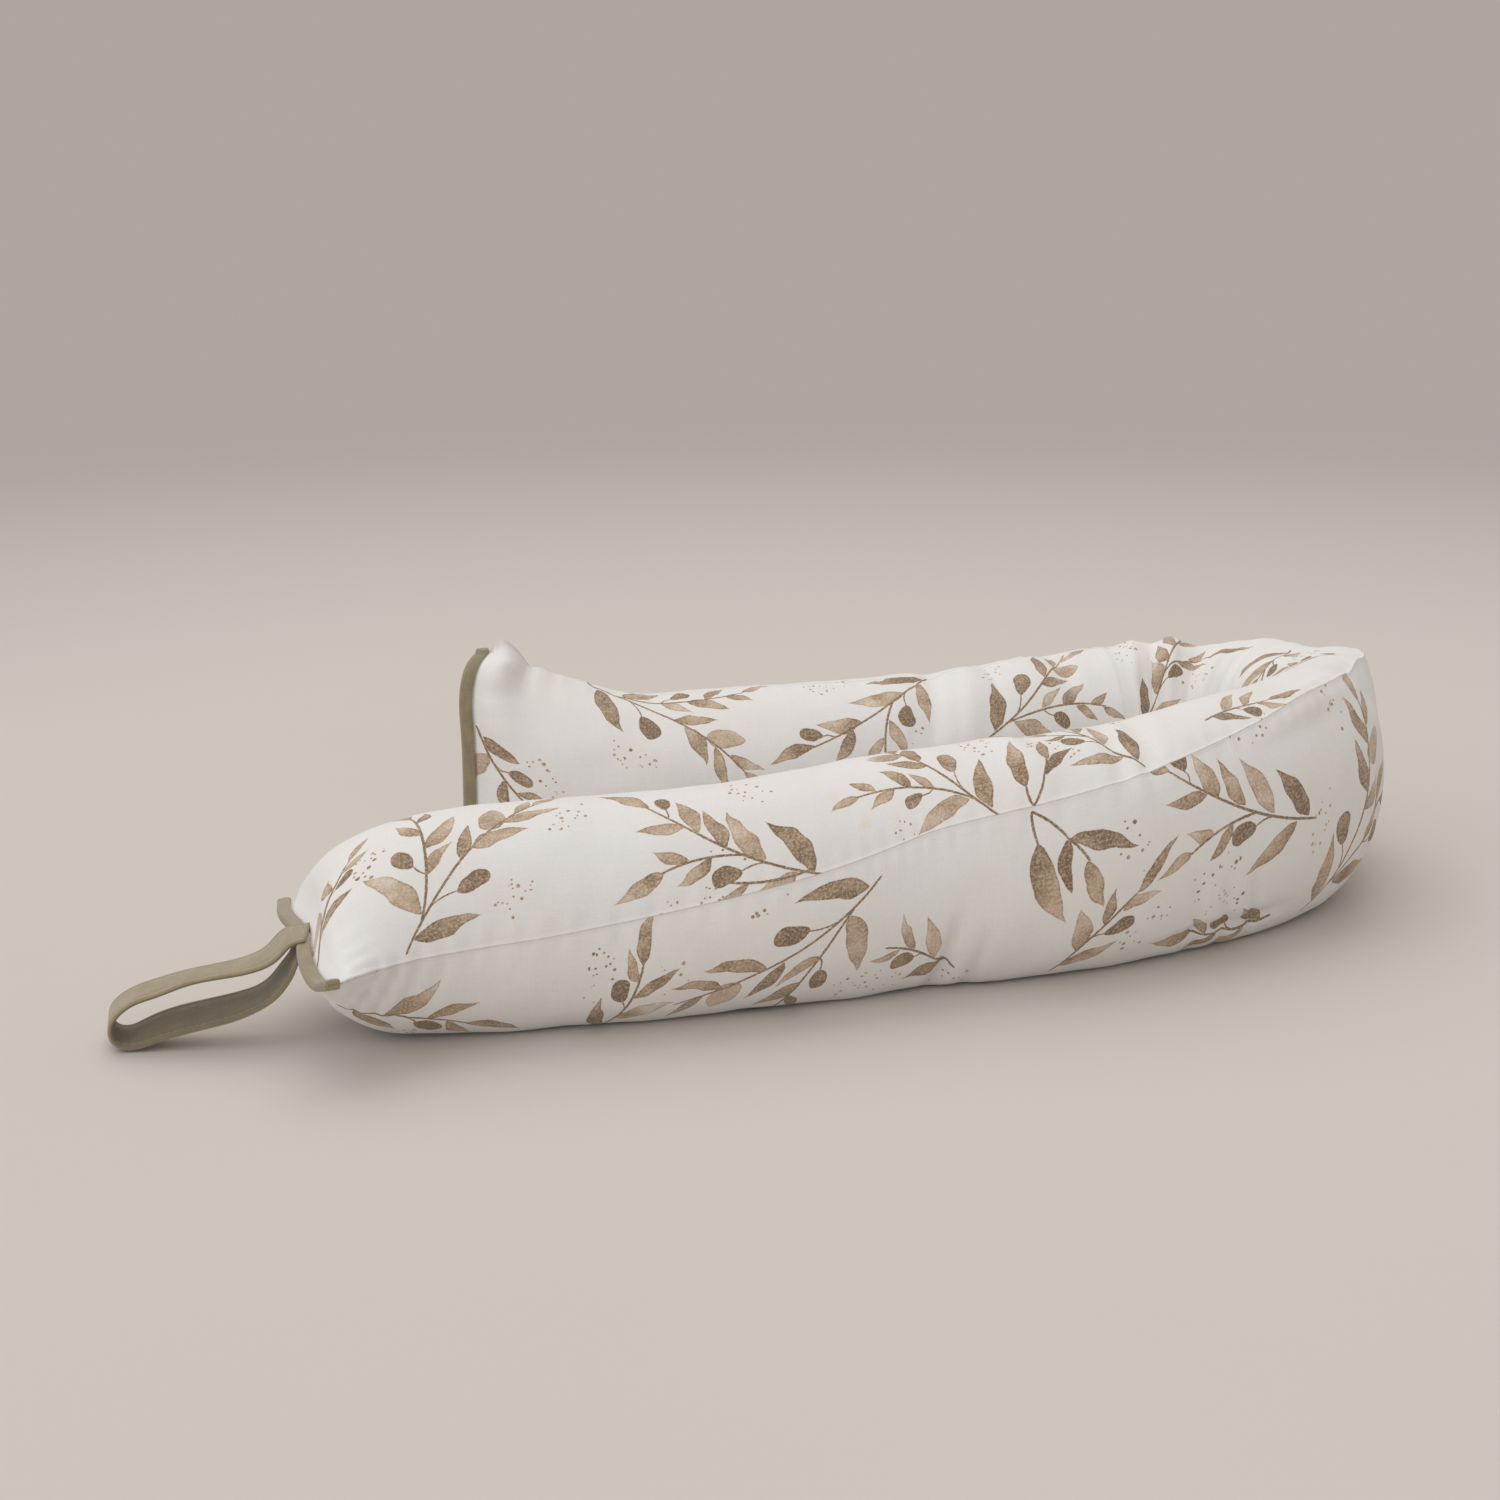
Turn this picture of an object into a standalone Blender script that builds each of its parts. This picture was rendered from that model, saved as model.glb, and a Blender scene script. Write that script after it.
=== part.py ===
"""Draught excluder: a long stuffed cotton tube bent into a U, with bound ends and a carry loop.

Metres, +Z up. The surface it lies on is z = 0 and the origin is under the middle of its box.
A point on the cover has two cloth coordinates: how far along the tube it lies from the near end,
and its share of a turn, which starts at the long outer seam, passes over the top or the inner side,
meets the hidden inner seam at a half and comes back underneath.
"""
import math

import bpy
import numpy as np

# Driving dimensions
FLAT_WIDTH = 0.1325       # the empty tube laid flat, from seam to seam
SINK = 0.005              # how far the filling presses the round down on the surface
FLOOR_BLEND = 0.003       # the height over which the flat base curves up
NEAR_END = (0.066, 2.2)   # from the end seam to the full round, and how blunt the end is
FAR_END = (0.074, 1.5)
INNER_ROOM = 0.9          # share of the bend radius that the inner side may fill
LEAST_ROOM = 0.020
SEAM_FADE = 1.3           # how far the end seam's own shape reaches, in lengths of the rounded end
LIP_DEEP = 0.0048         # flat seam allowance beyond each end seam
LIP_THICK = 0.0012
TAPE_DEEP = 0.0053        # what the folded binding covers of the lip, outer fold included
TAPE_THICK = 0.0009       # one layer of binding
CLEAR = 0.0003            # between pieces that touch
LOOP_WIDTH = 0.0195
LOOP_THICK = 0.0018
PLAN_CENTRE = (0.0157, 1.0747)    # the middle of the whole thing in the plan coordinates below
COTTON = (0.80, 0.76, 0.70)
TAPE = (0.33, 0.28, 0.20)

ROUND_STEPS = 36          # points around the tube
FINE_STEPS = 1500         # points of the smooth lines that sections are read from
SMOOTHING = 61            # of those points, over which the turning is averaged
BEND_START = 0.30         # between these places along the tube the rings stand closer
BEND_END = 0.66
BEND_STEP = 0.0052
ARM_STEP = 0.0120
FOLD_CLEAR = 0.0040       # folds die out this close to an end seam
SEAM_STEP = 0.0006        # from the lip to the first ring of the filled tube
END_MARKS = (0.03, 0.07, 0.11, 0.15, 0.19, 0.24, 0.31, 0.42, 0.56, 0.76)
# A row for each section: x and y of the centre line in plan; the cross and height scale of the
# round; the long seam's angle above level on the outer side, in degrees; and plumpness, 1 for a
# full round and less for a ridge at the seams
SECTIONS = (
    (-0.1587, 0.9550, 0.870, 1.028, -3.5, 1.000),
    (-0.1035, 0.9727, 0.956, 1.006, 3.3, 1.000),
    (0.0006, 0.9974, 0.961, 1.039, 20.7, 1.000),
    (0.0532, 1.0157, 0.933, 1.104, 31.0, 0.990),
    (0.1236, 1.0344, 0.906, 1.152, 42.5, 0.950),
    (0.2200, 1.1030, 0.890, 1.215, 64.0, 0.880),
    (0.2320, 1.1370, 0.845, 1.185, 60.0, 0.780),
    (0.2350, 1.1750, 0.810, 1.160, 54.0, 0.740),
    (0.2090, 1.2085, 0.870, 1.050, 78.0, 0.880),
    (0.1550, 1.2140, 0.890, 1.050, 88.7, 0.960),
    (0.0990, 1.1920, 0.911, 1.031, 91.0, 1.000),
    (0.0340, 1.1690, 0.946, 1.020, 91.0, 1.000),
    (-0.0240, 1.1550, 0.981, 1.010, 89.5, 1.000),
    (-0.1200, 1.1330, 1.010, 1.010, 92.0, 1.000),
)
# The end seams: share of the half width, from the hidden seam (-1) to the long outer seam (1), and
# how far that point stands outward, to the upper or inner side, and along the seam
NEAR_SEAM = (
    (-1.00, 0.0010, -0.0085, 0.0000),
    (-0.50, 0.0050, -0.0030, 0.0000),
    (0.00, 0.0040, 0.0000, 0.0000),
    (0.30, 0.0080, 0.0000, 0.0000),
    (0.55, 0.0100, -0.0010, 0.0000),
    (0.80, 0.0105, -0.0005, 0.0000),
    (1.00, 0.0100, 0.0040, -0.0010),
)
FAR_SEAM = (
    (-1.00, -0.0020, 0.0000, 0.0340),
    (-0.80, 0.0000, 0.0000, 0.0240),
    (-0.40, 0.0010, 0.0000, 0.0090),
    (0.00, 0.0010, 0.0000, 0.0030),
    (0.50, 0.0010, 0.0000, 0.0010),
    (0.80, 0.0000, -0.0020, 0.0000),
    (1.00, -0.0040, -0.0070, -0.0015),
)
FOLD_COLUMNS = ("along", "turn", "half_along", "half_turn", "slant", "depth")
# Creases and soft troughs, and ridges where the depth is negative. slant is the change of along over
# half_turn.
FOLDS = (
    (0.2320, 0.800, 0.0040, 0.060, 0.0040, 0.0018),
    (0.2655, 0.100, 0.0075, 0.080, -0.0070, -0.0020),
    (0.3010, 0.070, 0.0050, 0.080, 0.0040, 0.0022),
    (0.3145, 0.070, 0.0050, 0.070, 0.0040, 0.0018),
    (0.3310, 0.742, 0.0160, 0.012, 0.0000, 0.0022),
    (0.3590, 0.728, 0.0160, 0.012, 0.0000, 0.0024),
    (0.3880, 0.000, 0.0220, 0.030, 0.0000, -0.0025),
    (0.4250, 0.840, 0.0070, 0.060, 0.0000, 0.0025),
    (0.4300, 0.980, 0.0060, 0.050, -0.0030, 0.0020),
    (0.4550, 0.450, 0.0060, 0.140, 0.0000, 0.0040),
    (0.4790, 0.430, 0.0060, 0.150, 0.0010, 0.0050),
    (0.5020, 0.420, 0.0060, 0.150, 0.0020, 0.0045),
    (0.5000, 0.020, 0.0125, 0.100, 0.0000, 0.0042),
    (0.5190, 0.000, 0.0045, 0.060, 0.0000, -0.0010),
    (0.5215, 0.130, 0.0040, 0.110, 0.0010, 0.0034),
    (0.5435, 0.130, 0.0045, 0.110, 0.0020, 0.0032),
    (0.5555, 0.030, 0.0062, 0.090, 0.0000, -0.0044),
    (0.5640, 0.160, 0.0034, 0.130, 0.0000, 0.0052),
    (0.5690, 0.165, 0.0055, 0.130, 0.0000, 0.0030),
    (0.5705, 0.000, 0.0062, 0.080, 0.0000, -0.0028),
    (0.5790, 0.120, 0.0016, 0.150, 0.0000, 0.0014),
    (0.6620, 0.080, 0.0065, 0.110, 0.0080, -0.0014),
    (0.6760, 0.060, 0.0060, 0.110, 0.0080, 0.0032),
    (0.8512, 0.000, 0.0028, 0.050, 0.0000, 0.0022),
    (0.8608, 0.000, 0.0062, 0.050, 0.0000, -0.0052),
    (0.8620, 0.085, 0.0075, 0.065, 0.0000, -0.0032),
)
# The carry loop's middle line in plan, height, and roll of the tape in degrees, front edge down
LOOP_PATH = (
    (-0.1649, 0.9500, 0.0402, 0.0),
    (-0.1690, 0.9497, 0.0392, 2.0),
    (-0.1728, 0.9495, 0.0364, 6.0),
    (-0.1775, 0.9492, 0.0323, 2.0),
    (-0.1830, 0.9489, 0.0297, -1.0),
    (-0.1950, 0.9483, 0.0270, -4.0),
    (-0.2065, 0.9478, 0.0247, -4.0),
    (-0.2180, 0.9472, 0.0211, -1.0),
    (-0.2265, 0.9468, 0.0181, -1.0),
    (-0.2315, 0.9465, 0.0148, 0.0),
    (-0.2347, 0.9464, 0.0107, 2.0),
    (-0.2352, 0.9464, 0.0068, 3.0),
    (-0.2333, 0.9464, 0.0037, 4.0),
    (-0.2295, 0.9466, 0.0026, 5.0),
    (-0.2245, 0.9468, 0.0036, 9.0),
    (-0.2185, 0.9472, 0.0059, 12.0),
    (-0.2080, 0.9477, 0.0090, 13.0),
    (-0.1970, 0.9482, 0.0115, 12.0),
    (-0.1880, 0.9487, 0.0138, 10.0),
    (-0.1815, 0.9490, 0.0164, 7.0),
    (-0.1765, 0.9493, 0.0198, 8.0),
    (-0.1722, 0.9495, 0.0246, 10.0),
    (-0.1690, 0.9497, 0.0292, 6.0),
    (-0.1672, 0.9498, 0.0329, 2.0),
    (-0.1649, 0.9500, 0.0362, 0.0),
)
LOOP_STEPS = 72
LOOP_FRONT = np.array([0.19, -0.98, 0.0])    # the tape lies across this level direction

ROUND = FLAT_WIDTH / math.pi


def clear_scene():
    for thing in list(bpy.data.objects):
        bpy.data.objects.remove(thing, do_unlink=True)


def natural_spline(knots, values, at):
    """A natural cubic spline through the rows of values."""
    count = len(knots)
    gap = np.diff(knots)[:, None]
    grid = np.zeros((count, count))
    right = np.zeros_like(values)
    grid[0, 0] = grid[-1, -1] = 1.0
    for i in range(1, count - 1):
        grid[i, i - 1:i + 2] = gap[i - 1, 0], 2 * (gap[i - 1, 0] + gap[i, 0]), gap[i, 0]
        right[i] = 6 * ((values[i + 1] - values[i]) / gap[i] - (values[i] - values[i - 1]) / gap[i - 1])
    bend = np.linalg.solve(grid, right)
    k = np.clip(np.searchsorted(knots, at) - 1, 0, count - 2)
    step = gap[k]
    late = (np.asarray(at) - knots[k])[:, None] / step
    early = 1 - late
    curve = (early ** 3 - early) * bend[k] + (late ** 3 - late) * bend[k + 1]
    return early * values[k] + late * values[k + 1] + curve * step ** 2 / 6


def smooth_line(rows, place_columns, power):
    """A fine smooth line through rows whose first columns are places, with the run along it."""
    steps = np.linalg.norm(np.diff(rows[:, :place_columns], axis=0), axis=1)
    knots = np.concatenate([[0.0], np.cumsum(steps ** power)])
    fine = natural_spline(knots, rows, np.linspace(0.0, knots[-1], FINE_STEPS))
    steps = np.linalg.norm(np.diff(fine[:, :place_columns], axis=0), axis=1)
    return fine, np.concatenate([[0.0], np.cumsum(steps)])


def read_line(fine, run, at):
    """The columns of a smooth line at the given places along it."""
    return np.stack([np.interp(at, run, column) for column in fine.T], axis=1)


def tube_line():
    """The centre line: its run, its section columns, its direction and how sharply it turns."""
    fine, run = smooth_line(np.array(SECTIONS), 2, 0.5)
    direction = np.gradient(fine[:, :2], run, axis=0)
    direction /= np.linalg.norm(direction, axis=1)[:, None]
    heading = np.unwrap(np.arctan2(direction[:, 1], direction[:, 0]))
    window = np.hanning(SMOOTHING)
    padded = np.pad(np.gradient(heading, run), SMOOTHING // 2, mode="edge")
    turning = np.convolve(padded, window / window.sum(), "valid")
    return run, np.column_stack([fine, heading, turning])


def stations(length):
    """Where the rings stand: close at the ends and in the bend, wider along the arms."""
    starts = []
    for reach, _ in (NEAR_END, FAR_END):
        lip = [0.0, LIP_DEEP, LIP_DEEP + SEAM_STEP]
        starts.append(lip + [LIP_DEEP + reach * share for share in END_MARKS])
    marks = [LIP_DEEP + NEAR_END[0]]
    last = length - LIP_DEEP - FAR_END[0]
    while marks[-1] < last:
        in_bend = BEND_START < marks[-1] < BEND_END
        marks.append(marks[-1] + (BEND_STEP if in_bend else ARM_STEP))
    middle = np.interp(np.array(marks), (marks[0], marks[-1]), (marks[0], last))
    return np.concatenate([starts[0], middle, length - np.array(starts[1][::-1])])


def soft_floor(z):
    """Flat at 0 below the blend, untouched above it."""
    blended = (z + FLOOR_BLEND) ** 2 / (4 * FLOOR_BLEND)
    return np.where(z <= -FLOOR_BLEND, 0.0, np.where(z >= FLOOR_BLEND, z, blended))


def fullness(share, power):
    """How far the tube has filled from flat (0) to round (1)."""
    share = min(max(share, 0.0), 1.0)
    return (1 - (1 - share) ** power) ** (1 / power)


def fold_depth(along, turn):
    """How far the folds press the cloth in at each point of a ring."""
    depth = np.zeros_like(turn)
    for fold in FOLDS:
        row = dict(zip(FOLD_COLUMNS, fold))
        off_turn = (turn - row["turn"] + 0.5) % 1.0 - 0.5
        line = row["along"] + row["slant"] * off_turn / row["half_turn"]
        across = np.exp(-((along - line) / row["half_along"]) ** 2)
        depth += row["depth"] * across * np.exp(-(off_turn / row["half_turn"]) ** 4)
    return depth


def ring(at, length, run, line, steps=ROUND_STEPS):
    """The points of one ring of the cover."""
    held = min(max(at, LIP_DEEP), length - LIP_DEEP)
    x, y, wide, tall, seam, plump, heading, turning = read_line(line, run, [held])[0]
    forward = np.array([math.cos(heading), math.sin(heading)])
    outward = np.array([forward[1], -forward[0]])
    near = at < length / 2
    from_seam = max(0.0, min(at, length - at) - LIP_DEEP)
    reach, power = NEAR_END if near else FAR_END
    half_angle = max(1e-4, fullness(from_seam / reach, power) * math.pi / 2 * min(plump, 1.0))
    radius = FLAT_WIDTH / (2 * half_angle)
    half = steps // 2
    sweep = np.linspace(half_angle, -half_angle, half, endpoint=False)
    angle = np.concatenate([sweep, -sweep])
    side = np.where(np.arange(steps) < half, 1.0, -1.0)
    across = radius * np.sin(angle)
    height = radius * (np.cos(angle) - math.cos(half_angle)) * side
    share = np.clip(across / (radius * math.sin(half_angle)), -1.0, 1.0)
    skin_across = np.sin(angle)
    skin_height = np.cos(angle) * side
    skin_across[0], skin_height[0] = 1.0, 0.0
    skin_across[half], skin_height[half] = -1.0, 0.0
    depth = fold_depth(at, np.arange(steps) / steps) * min(1.0, from_seam / FOLD_CLEAR)
    across = across - depth * skin_across
    height = height - depth * skin_height
    tilt = math.radians(seam)
    u = (across * math.cos(tilt) - height * math.sin(tilt)) * wide
    v = (across * math.sin(tilt) + height * math.cos(tilt)) * tall
    u += (skin_across * math.cos(tilt) - skin_height * math.sin(tilt)) * LIP_THICK / 2
    v += (skin_across * math.sin(tilt) + skin_height * math.cos(tilt)) * LIP_THICK / 2
    table = np.array(NEAR_SEAM if near else FAR_SEAM)
    fade = max(0.0, 1 - from_seam / (SEAM_FADE * reach)) ** 2
    stand = natural_spline(table[:, 0], table[:, 1:], share) * fade
    along = stand[:, 0] * (-1 if near else 1) + (at - held)
    u += stand[:, 2] * math.cos(tilt) - stand[:, 1] * math.sin(tilt)
    v += stand[:, 2] * math.sin(tilt) + stand[:, 1] * math.cos(tilt)
    if turning > 0:
        room = max(INNER_ROOM / turning, LEAST_ROOM)
        u = np.where(u < 0, -room * np.tanh(-u / room), u)
    points = np.zeros((steps, 3))
    points[:, :2] = np.array([x, y]) - PLAN_CENTRE + np.outer(u, outward) + np.outer(along, forward)
    points[:, 2] = soft_floor(ROUND * tall - SINK + v)
    return points


def mesh_object(name, points, faces, colour):
    mesh = bpy.data.meshes.new(name)
    mesh.from_pydata([tuple(p) for p in points], [], faces)
    mesh.validate()
    mesh.shade_smooth()
    thing = bpy.data.objects.new(name, mesh)
    bpy.context.scene.collection.objects.link(thing)
    material = bpy.data.materials.new(name)
    material.use_nodes = True
    shader = material.node_tree.nodes["Principled BSDF"]
    shader.inputs["Base Color"].default_value = (*colour, 1.0)
    shader.inputs["Roughness"].default_value = 0.95
    mesh.materials.append(material)
    return thing


def tube_faces(rings, steps):
    """Quads between rings of equal size, and strips across each end ring."""
    faces = []
    for i in range(rings - 1):
        for j in range(steps):
            k = (j + 1) % steps
            faces.append((i * steps + j, i * steps + k, (i + 1) * steps + k, (i + 1) * steps + j))
    last = (rings - 1) * steps
    half = steps // 2
    for j in range(half):
        a, b, c, d = j, j + 1, steps - j - 1, (steps - j) % steps
        for base, flip in ((0, True), (last, False)):
            loop = []
            for index in (a, b, c, d):
                if base + index not in loop:
                    loop.append(base + index)
            faces.append(tuple(reversed(loop)) if flip else tuple(loop))
    return faces


def make_cover():
    run, line = tube_line()
    length = run[-1]
    marks = stations(length)
    points = np.concatenate([ring(at, length, run, line) for at in marks])
    faces = [tuple(reversed(face)) for face in tube_faces(len(marks), ROUND_STEPS)]
    return mesh_object("cover", points, faces, COTTON)


def make_binding(name, near):
    """Folded tape over the lip beyond an end seam: a narrow U swept along the seam."""
    run, line = tube_line()
    length = run[-1]
    half = ROUND_STEPS // 2
    edge = ring(0.0 if near else length, length, run, line)
    inner = ring(LIP_DEEP if near else length - LIP_DEEP, length, run, line)
    seam_line = [edge[0]] + [(edge[j] + edge[-j]) / 2 for j in range(1, half)] + [edge[half]]
    outward = edge[0] - inner[0]
    outward /= np.linalg.norm(outward)
    lift = edge[half // 2] - edge[-half // 2]
    lift /= np.linalg.norm(lift)
    hollow = LIP_THICK / 2 + CLEAR
    outer = hollow + TAPE_THICK
    fold = CLEAR + TAPE_THICK
    profile = (
        (fold - TAPE_DEEP, hollow), (CLEAR, hollow), (CLEAR, -hollow), (fold - TAPE_DEEP, -hollow),
        (fold - TAPE_DEEP, -outer), (CLEAR, -outer), (fold, -hollow * 0.6), (fold, hollow * 0.6),
        (CLEAR, outer), (fold - TAPE_DEEP, outer),
    )
    size = len(profile)
    points = []
    for place in seam_line:
        points += [place + outward * out + lift * up for out, up in profile]
    faces = []
    for i in range(len(seam_line) - 1):
        for j in range(size):
            k = (j + 1) % size
            faces.append((i * size + j, i * size + k, (i + 1) * size + k, (i + 1) * size + j))
    # each end is closed with a face for each side of the U and one for the fold
    for base, flip in ((0, False), ((len(seam_line) - 1) * size, True)):
        for loop in ((0, 1, 8, 9), (3, 4, 5, 2), (1, 2, 5, 6, 7, 8)):
            face = [base + index for index in loop]
            faces.append(tuple(face) if flip else tuple(reversed(face)))
    if not near:
        faces = [tuple(reversed(face)) for face in faces]
    return mesh_object(name, points, faces, TAPE)


def make_loop():
    """The carry loop: one flat tape from the end seam round its tip and back."""
    fine, run = smooth_line(np.array(LOOP_PATH), 3, 1.0)
    at = np.linspace(0.0, run[-1], LOOP_STEPS)
    line = read_line(fine, run, at)
    places = line[:, :3] - np.array([*PLAN_CENTRE, 0.0])
    forward = np.gradient(places, at, axis=0)
    forward /= np.linalg.norm(forward, axis=1)[:, None]
    points = []
    for place, ahead, roll in zip(places, forward, line[:, 3]):
        front = LOOP_FRONT - ahead * LOOP_FRONT.dot(ahead)
        front /= np.linalg.norm(front)
        front[2] -= math.sin(math.radians(roll))
        front /= np.linalg.norm(front)
        face = np.cross(ahead, front)
        face /= np.linalg.norm(face)
        for wide, thick in ((-1, -1), (1, -1), (1, 1), (-1, 1)):
            points.append(place + front * wide * LOOP_WIDTH / 2 + face * thick * LOOP_THICK / 2)
    faces = []
    for i in range(LOOP_STEPS - 1):
        for j in range(4):
            k = (j + 1) % 4
            faces.append((i * 4 + j, i * 4 + k, (i + 1) * 4 + k, (i + 1) * 4 + j))
    last = (LOOP_STEPS - 1) * 4
    faces.append((3, 2, 1, 0))
    faces.append((last, last + 1, last + 2, last + 3))
    return mesh_object("carry_loop", points, faces, TAPE)


def main():
    clear_scene()
    make_cover()
    make_binding("near_binding", True)
    make_binding("far_binding", False)
    make_loop()


main()
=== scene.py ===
"""Looks of the draught excluder: printed cotton cover, folded tapes, carry loop, floor and light."""
import math

import bpy
import numpy as np
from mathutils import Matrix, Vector, noise


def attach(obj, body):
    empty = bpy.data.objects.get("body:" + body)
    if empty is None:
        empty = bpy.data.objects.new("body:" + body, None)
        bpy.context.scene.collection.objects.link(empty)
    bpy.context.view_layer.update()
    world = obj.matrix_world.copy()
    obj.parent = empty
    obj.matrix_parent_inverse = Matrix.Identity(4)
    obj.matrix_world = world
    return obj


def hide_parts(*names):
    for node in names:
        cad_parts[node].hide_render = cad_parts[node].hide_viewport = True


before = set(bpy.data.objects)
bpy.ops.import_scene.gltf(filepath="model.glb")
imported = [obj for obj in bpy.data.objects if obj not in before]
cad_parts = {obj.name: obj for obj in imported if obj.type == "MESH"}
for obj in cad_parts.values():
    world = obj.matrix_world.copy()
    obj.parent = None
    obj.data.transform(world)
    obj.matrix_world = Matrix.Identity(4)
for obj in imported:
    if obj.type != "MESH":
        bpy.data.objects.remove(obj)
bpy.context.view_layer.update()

# Driving dimensions in metres: those of the solids, except where a comment says that they differ
FLAT_WIDTH = 0.1325       # the empty tube laid flat, from seam to seam
SINK = 0.005              # how far the filling presses the round down on the surface
FLOOR_BLEND = 0.003       # the height over which the flat base curves up
NEAR_END = (0.066, 2.2)   # from the end seam to the full round, and how blunt the end is
FAR_END = (0.074, 1.5)
INNER_ROOM = 0.9          # share of the bend radius that the inner side may fill
LEAST_ROOM = 0.020
SEAM_FADE = 1.3           # how far the end seam's own shape reaches, in lengths of the rounded end
LIP_DEEP = 0.0048         # flat seam allowance beyond each end seam
LIP_THICK = 0.0012
TAPE_DEEP = 0.0053        # what the folded binding covers of the lip, outer fold included
TAPE_THICK = 0.0009       # one layer of binding
CLEAR = 0.0003            # between pieces that touch
LOOP_WIDTH = 0.0195
LOOP_THICK = 0.0018
PLAN_CENTRE = (0.0157, 1.0747)    # the middle of the whole thing in the plan coordinates below
FINE_STEPS = 1500
SMOOTHING = 61
FOLD_CLEAR = 0.0026       # folds die out this close to an end seam, nearer than on the solids

# A row for each section: x and y of the centre line in plan; the cross and height scale of the
# round; the long seam's angle above level on the outer side, in degrees; and plumpness
SECTIONS = (
    (-0.1587, 0.9550, 0.870, 1.028, -3.5, 1.000),
    (-0.1035, 0.9727, 0.956, 1.006, 3.3, 1.000),
    (0.0006, 0.9974, 0.961, 1.039, 20.7, 1.000),
    (0.0532, 1.0157, 0.933, 1.104, 31.0, 0.990),
    (0.1236, 1.0344, 0.906, 1.152, 42.5, 0.950),
    (0.2200, 1.1030, 0.890, 1.215, 64.0, 0.880),
    (0.2320, 1.1370, 0.845, 1.185, 60.0, 0.780),
    (0.2350, 1.1750, 0.810, 1.160, 54.0, 0.740),
    (0.2090, 1.2085, 0.870, 1.050, 78.0, 0.880),
    (0.1550, 1.2140, 0.890, 1.050, 88.7, 0.960),
    (0.0990, 1.1920, 0.911, 1.031, 91.0, 1.000),
    (0.0340, 1.1690, 0.946, 1.020, 91.0, 1.000),
    (-0.0240, 1.1550, 0.981, 1.010, 89.5, 1.000),
    (-0.1200, 1.1330, 1.010, 1.010, 92.0, 1.000),
)
# The end seams, which stand up to 4.5 mm further out than those of the solids, because the loop's
# ends are sewn over the near binding. A row for each point: share of the half width, from the
# hidden seam (-1) to the long outer seam (1), and how far the point stands outward, to the upper
# or inner side, and along the seam
NEAR_SEAM = (
    (-1.00, 0.0040, -0.0085, 0.0000),
    (-0.50, 0.0085, -0.0030, 0.0000),
    (0.00, 0.0085, 0.0000, 0.0000),
    (0.30, 0.0112, 0.0000, 0.0000),
    (0.55, 0.0124, -0.0010, 0.0000),
    (0.80, 0.0115, -0.0005, 0.0000),
    (1.00, 0.0096, 0.0040, -0.0010),
)
FAR_SEAM = (
    (-1.00, 0.0010, 0.0000, 0.0340),
    (-0.80, 0.0030, 0.0000, 0.0240),
    (-0.40, 0.0040, 0.0000, 0.0090),
    (0.00, 0.0038, 0.0000, 0.0030),
    (0.50, 0.0040, 0.0000, 0.0010),
    (0.80, 0.0030, -0.0022, 0.0000),
    (0.92, -0.0005, -0.0060, -0.0005),
    (1.00, -0.0048, -0.0110, -0.0030),
)
FOLD_COLUMNS = ("along", "turn", "half_along", "half_turn", "slant", "depth")
# Creases and soft troughs, and ridges where the depth is negative. slant is the change of along
# over half_turn. The ridge at 0.8632 is a little further along and higher than on the solids.
FOLDS = (
    (0.2320, 0.800, 0.0040, 0.060, 0.0040, 0.0018),
    (0.2655, 0.100, 0.0075, 0.080, -0.0070, -0.0020),
    (0.3010, 0.070, 0.0050, 0.080, 0.0040, 0.0022),
    (0.3145, 0.070, 0.0050, 0.070, 0.0040, 0.0018),
    (0.3310, 0.742, 0.0160, 0.012, 0.0000, 0.0022),
    (0.3590, 0.728, 0.0160, 0.012, 0.0000, 0.0024),
    (0.3880, 0.000, 0.0220, 0.030, 0.0000, -0.0025),
    (0.4250, 0.840, 0.0070, 0.060, 0.0000, 0.0025),
    (0.4300, 0.980, 0.0060, 0.050, -0.0030, 0.0020),
    (0.4550, 0.450, 0.0060, 0.140, 0.0000, 0.0040),
    (0.4790, 0.430, 0.0060, 0.150, 0.0010, 0.0050),
    (0.5020, 0.420, 0.0060, 0.150, 0.0020, 0.0045),
    (0.5000, 0.020, 0.0125, 0.100, 0.0000, 0.0042),
    (0.5190, 0.000, 0.0045, 0.060, 0.0000, -0.0010),
    (0.5215, 0.130, 0.0040, 0.110, 0.0010, 0.0034),
    (0.5435, 0.130, 0.0045, 0.110, 0.0020, 0.0032),
    (0.5555, 0.030, 0.0062, 0.090, 0.0000, -0.0044),
    (0.5640, 0.160, 0.0034, 0.130, 0.0000, 0.0052),
    (0.5690, 0.165, 0.0055, 0.130, 0.0000, 0.0030),
    (0.5705, 0.000, 0.0062, 0.080, 0.0000, -0.0028),
    (0.5790, 0.120, 0.0016, 0.150, 0.0000, 0.0014),
    (0.6620, 0.080, 0.0065, 0.110, 0.0080, -0.0014),
    (0.6760, 0.060, 0.0060, 0.110, 0.0080, 0.0032),
    (0.8512, 0.000, 0.0028, 0.050, 0.0000, 0.0022),
    (0.8632, 0.000, 0.0082, 0.050, 0.0000, -0.0058),
    (0.8620, 0.085, 0.0075, 0.065, 0.0000, -0.0032),
)
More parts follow.
